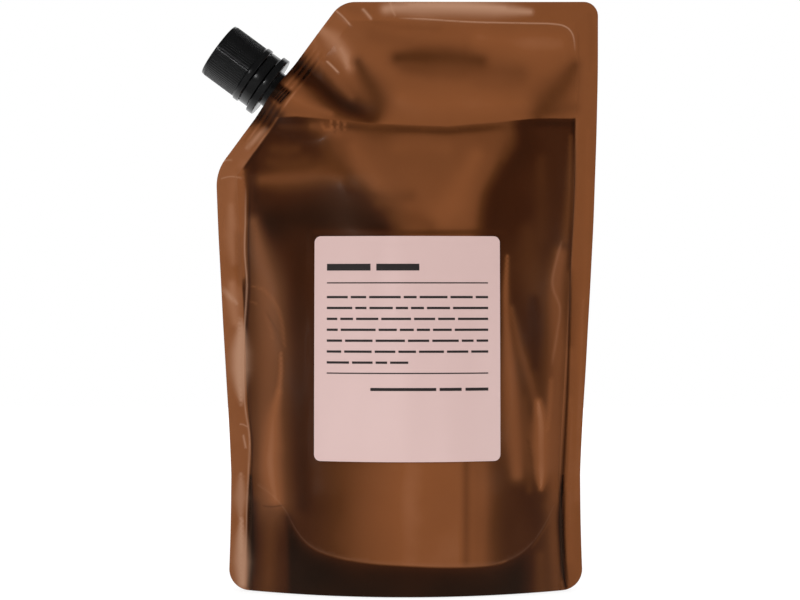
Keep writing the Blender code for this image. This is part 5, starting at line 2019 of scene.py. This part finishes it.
@dataclass
class Studio:
    """Camera, pale floor and plain soft light."""

    camera_place: tuple = (-0.0024, -1.06, 0.122)
    lens: float = 113.4
    floor_radius: float = 3.0
    floor_height: float = -0.3 * MM
    floor_sides: int = 64
    wall_distance: float = 1.8
    wall_half_width: float = 2.2
    wall_height: float = 2.0
    floor_grey: float = 0.82
    floor_glow: float = 1.22
    floor_mirrored: float = 0.85
    shadow_ring: Point2 = (0.45, 1.3)
    shadow_shares: Point2 = (0.62, 1.0)
    card_ends: Point2 = (-0.12, 0.1)
    card_glow: Point2 = (0.06, 1.05)
    wall_grey: float = 0.8
    wall_mirrored: float = 0.6
    ambient: float = 0.72
    mirrored: float = 0.04
    boxes: tuple[SoftBox, ...] = (
        SoftBox("left_box", (-1.25, -0.95, 0.55), (1.0, 1.4), 7.5),
        SoftBox("right_box", (1.35, -0.9, 0.6), (1.0, 1.4), 5.5),
        SoftBox("top_box", (0.0, -0.3, 1.5), (1.4, 1.2), 5.5),
        SoftBox("left_strip", (-1.0, -0.75, 0.25), (0.07, 0.9), 0.7, mirrored=True),
        SoftBox("glint", (-0.3, -1.1, 0.4), (0.05, 0.05), 0.6, mirrored=True),
        SoftBox("back_box", (0.5, 1.3, 0.7), (1.2, 1.2), 4.0),
        SoftBox("right_strip", (1.1, -0.8, 0.35), (0.06, 0.8), 0.45, mirrored=True),
    )

    def camera(self) -> None:
        """Level camera straight in front of the pouch."""
        data = bpy.data.cameras.new("camera")
        data.lens = self.lens
        data.sensor_width = 36.0
        data.clip_start = 0.01
        data.clip_end = 50.0
        camera = bpy.data.objects.new("camera", data)
        camera.location = self.camera_place
        camera.rotation_euler = (math.pi / 2, 0.0, 0.0)
        bpy.context.scene.collection.objects.link(camera)
        bpy.context.scene.camera = camera

    @staticmethod
    def bare_material(name: str) -> tuple[bpy.types.Material, NodeBench]:
        """A material without nodes, and the bench to lay them on."""
        material = bpy.data.materials.new(name)
        material.use_nodes = True
        material.node_tree.nodes.clear()
        return material, NodeBench(material.node_tree)

    @staticmethod
    def matt_and_glow(bench: NodeBench, grey: float, glow: object, share: object) -> None:
        """Makes a stage material part matt and part glowing.

        Args:
            bench: The material's nodes.
            grey: Brightness of the matt part.
            glow: Strength of the glowing part.
            share: Share of the glowing part.
        """
        matt = bench.add("ShaderNodeBsdfDiffuse", {"Color": (grey, grey, grey, 1.0)}).outputs[0]
        light = bench.add("ShaderNodeEmission", {"Color": WHITE, "Strength": glow}).outputs[0]
        mixed = bench.add("ShaderNodeMixShader", {0: share, 1: matt, 2: light}).outputs[0]
        bench.add("ShaderNodeOutputMaterial", {0: mixed})

    def floor(self) -> None:
        """Round pale floor that looks white to the camera and keeps the pouch's shadow."""
        material, bench = self.bare_material("studio_floor")
        path = bench.add("ShaderNodeLightPath").outputs
        seen, mirrored = path["Is Camera Ray"], path["Is Glossy Ray"]
        place = bench.add("ShaderNodeTexCoord").outputs["Object"]
        distance = bench.add("ShaderNodeVectorMath", {0: place}, operation="LENGTH").outputs["Value"]
        far = bench.remap(distance, self.shadow_ring, self.shadow_shares)
        share = bench.math("MULTIPLY_ADD", mirrored, self.floor_mirrored, bench.math("MULTIPLY", seen, far))
        # The floor glows for mirrored rays, brightest towards the back, a glowing card that the cap mirrors
        # as a highlight
        back = bench.add("ShaderNodeSeparateXYZ", {0: place}).outputs["Y"]
        card = bench.remap(back, self.card_ends, self.card_glow)
        glow = bench.math("MAXIMUM", bench.math("MULTIPLY", seen, self.floor_glow), card)
        self.matt_and_glow(bench, self.floor_grey, glow, share)
        ring = circle(self.floor_radius, self.floor_height, self.floor_sides)
        new_piece("studio_floor_disc", ring, [tuple(range(self.floor_sides))], material)

    def backdrop(self) -> None:
        """White wall far behind the pouch, for the camera and for what mirrors it."""
        material, bench = self.bare_material("studio_wall")
        path = bench.add("ShaderNodeLightPath").outputs
        seen = bench.math("MAXIMUM", path["Is Camera Ray"], path["Is Transmission Ray"])
        share = bench.math("MULTIPLY_ADD", path["Is Glossy Ray"], self.wall_mirrored, seen)
        self.matt_and_glow(bench, self.wall_grey, 1.0, share)
        half, y, low, top = self.wall_half_width, self.wall_distance, self.floor_height, self.wall_height
        corners = [(-half, y, low), (half, y, low), (half, y, top), (-half, y, top)]
        new_piece("studio_wall_sheet", corners, [(0, 1, 2, 3)], material)

    def world(self) -> None:
        """White background for the camera, softer for what lights and mirrors in the pouch."""
        world = bpy.data.worlds.new("studio")
        world.use_nodes = True
        bpy.context.scene.world = world
        bench = NodeBench(world.node_tree)
        path = bench.add("ShaderNodeLightPath").outputs
        white = bench.math("MAXIMUM", path["Is Camera Ray"], path["Is Transmission Ray"])
        other = bench.math("SUBTRACT", 1.0, white)
        mirror = bench.math("MULTIPLY", path["Is Glossy Ray"], self.mirrored - self.ambient)
        soft = bench.math("MULTIPLY", bench.math("ADD", mirror, self.ambient), other)
        back = world.node_tree.nodes["Background"]
        bench.feed(back.inputs["Color"], WHITE)
        bench.feed(back.inputs["Strength"], bench.math("ADD", white, soft))

    def build(self) -> None:
        """Sets up the whole studio."""
        self.camera()
        self.floor()
        self.backdrop()
        self.world()
        for box in self.boxes:
            box.light()
        bpy.context.scene.view_settings.view_transform = "Standard"


def main() -> None:
    logging.basicConfig(level=logging.INFO, format="%(name)s: %(message)s", stream=sys.stdout)
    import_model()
    shape = PouchShape()
    finishes = Finishes()
    Studio().build()
    FilmPouch(shape, finishes).build()
    SpoutFitting(shape, finishes).build()
    FrontLabel(shape, finishes).build()


if __name__ == "__main__":
    main()
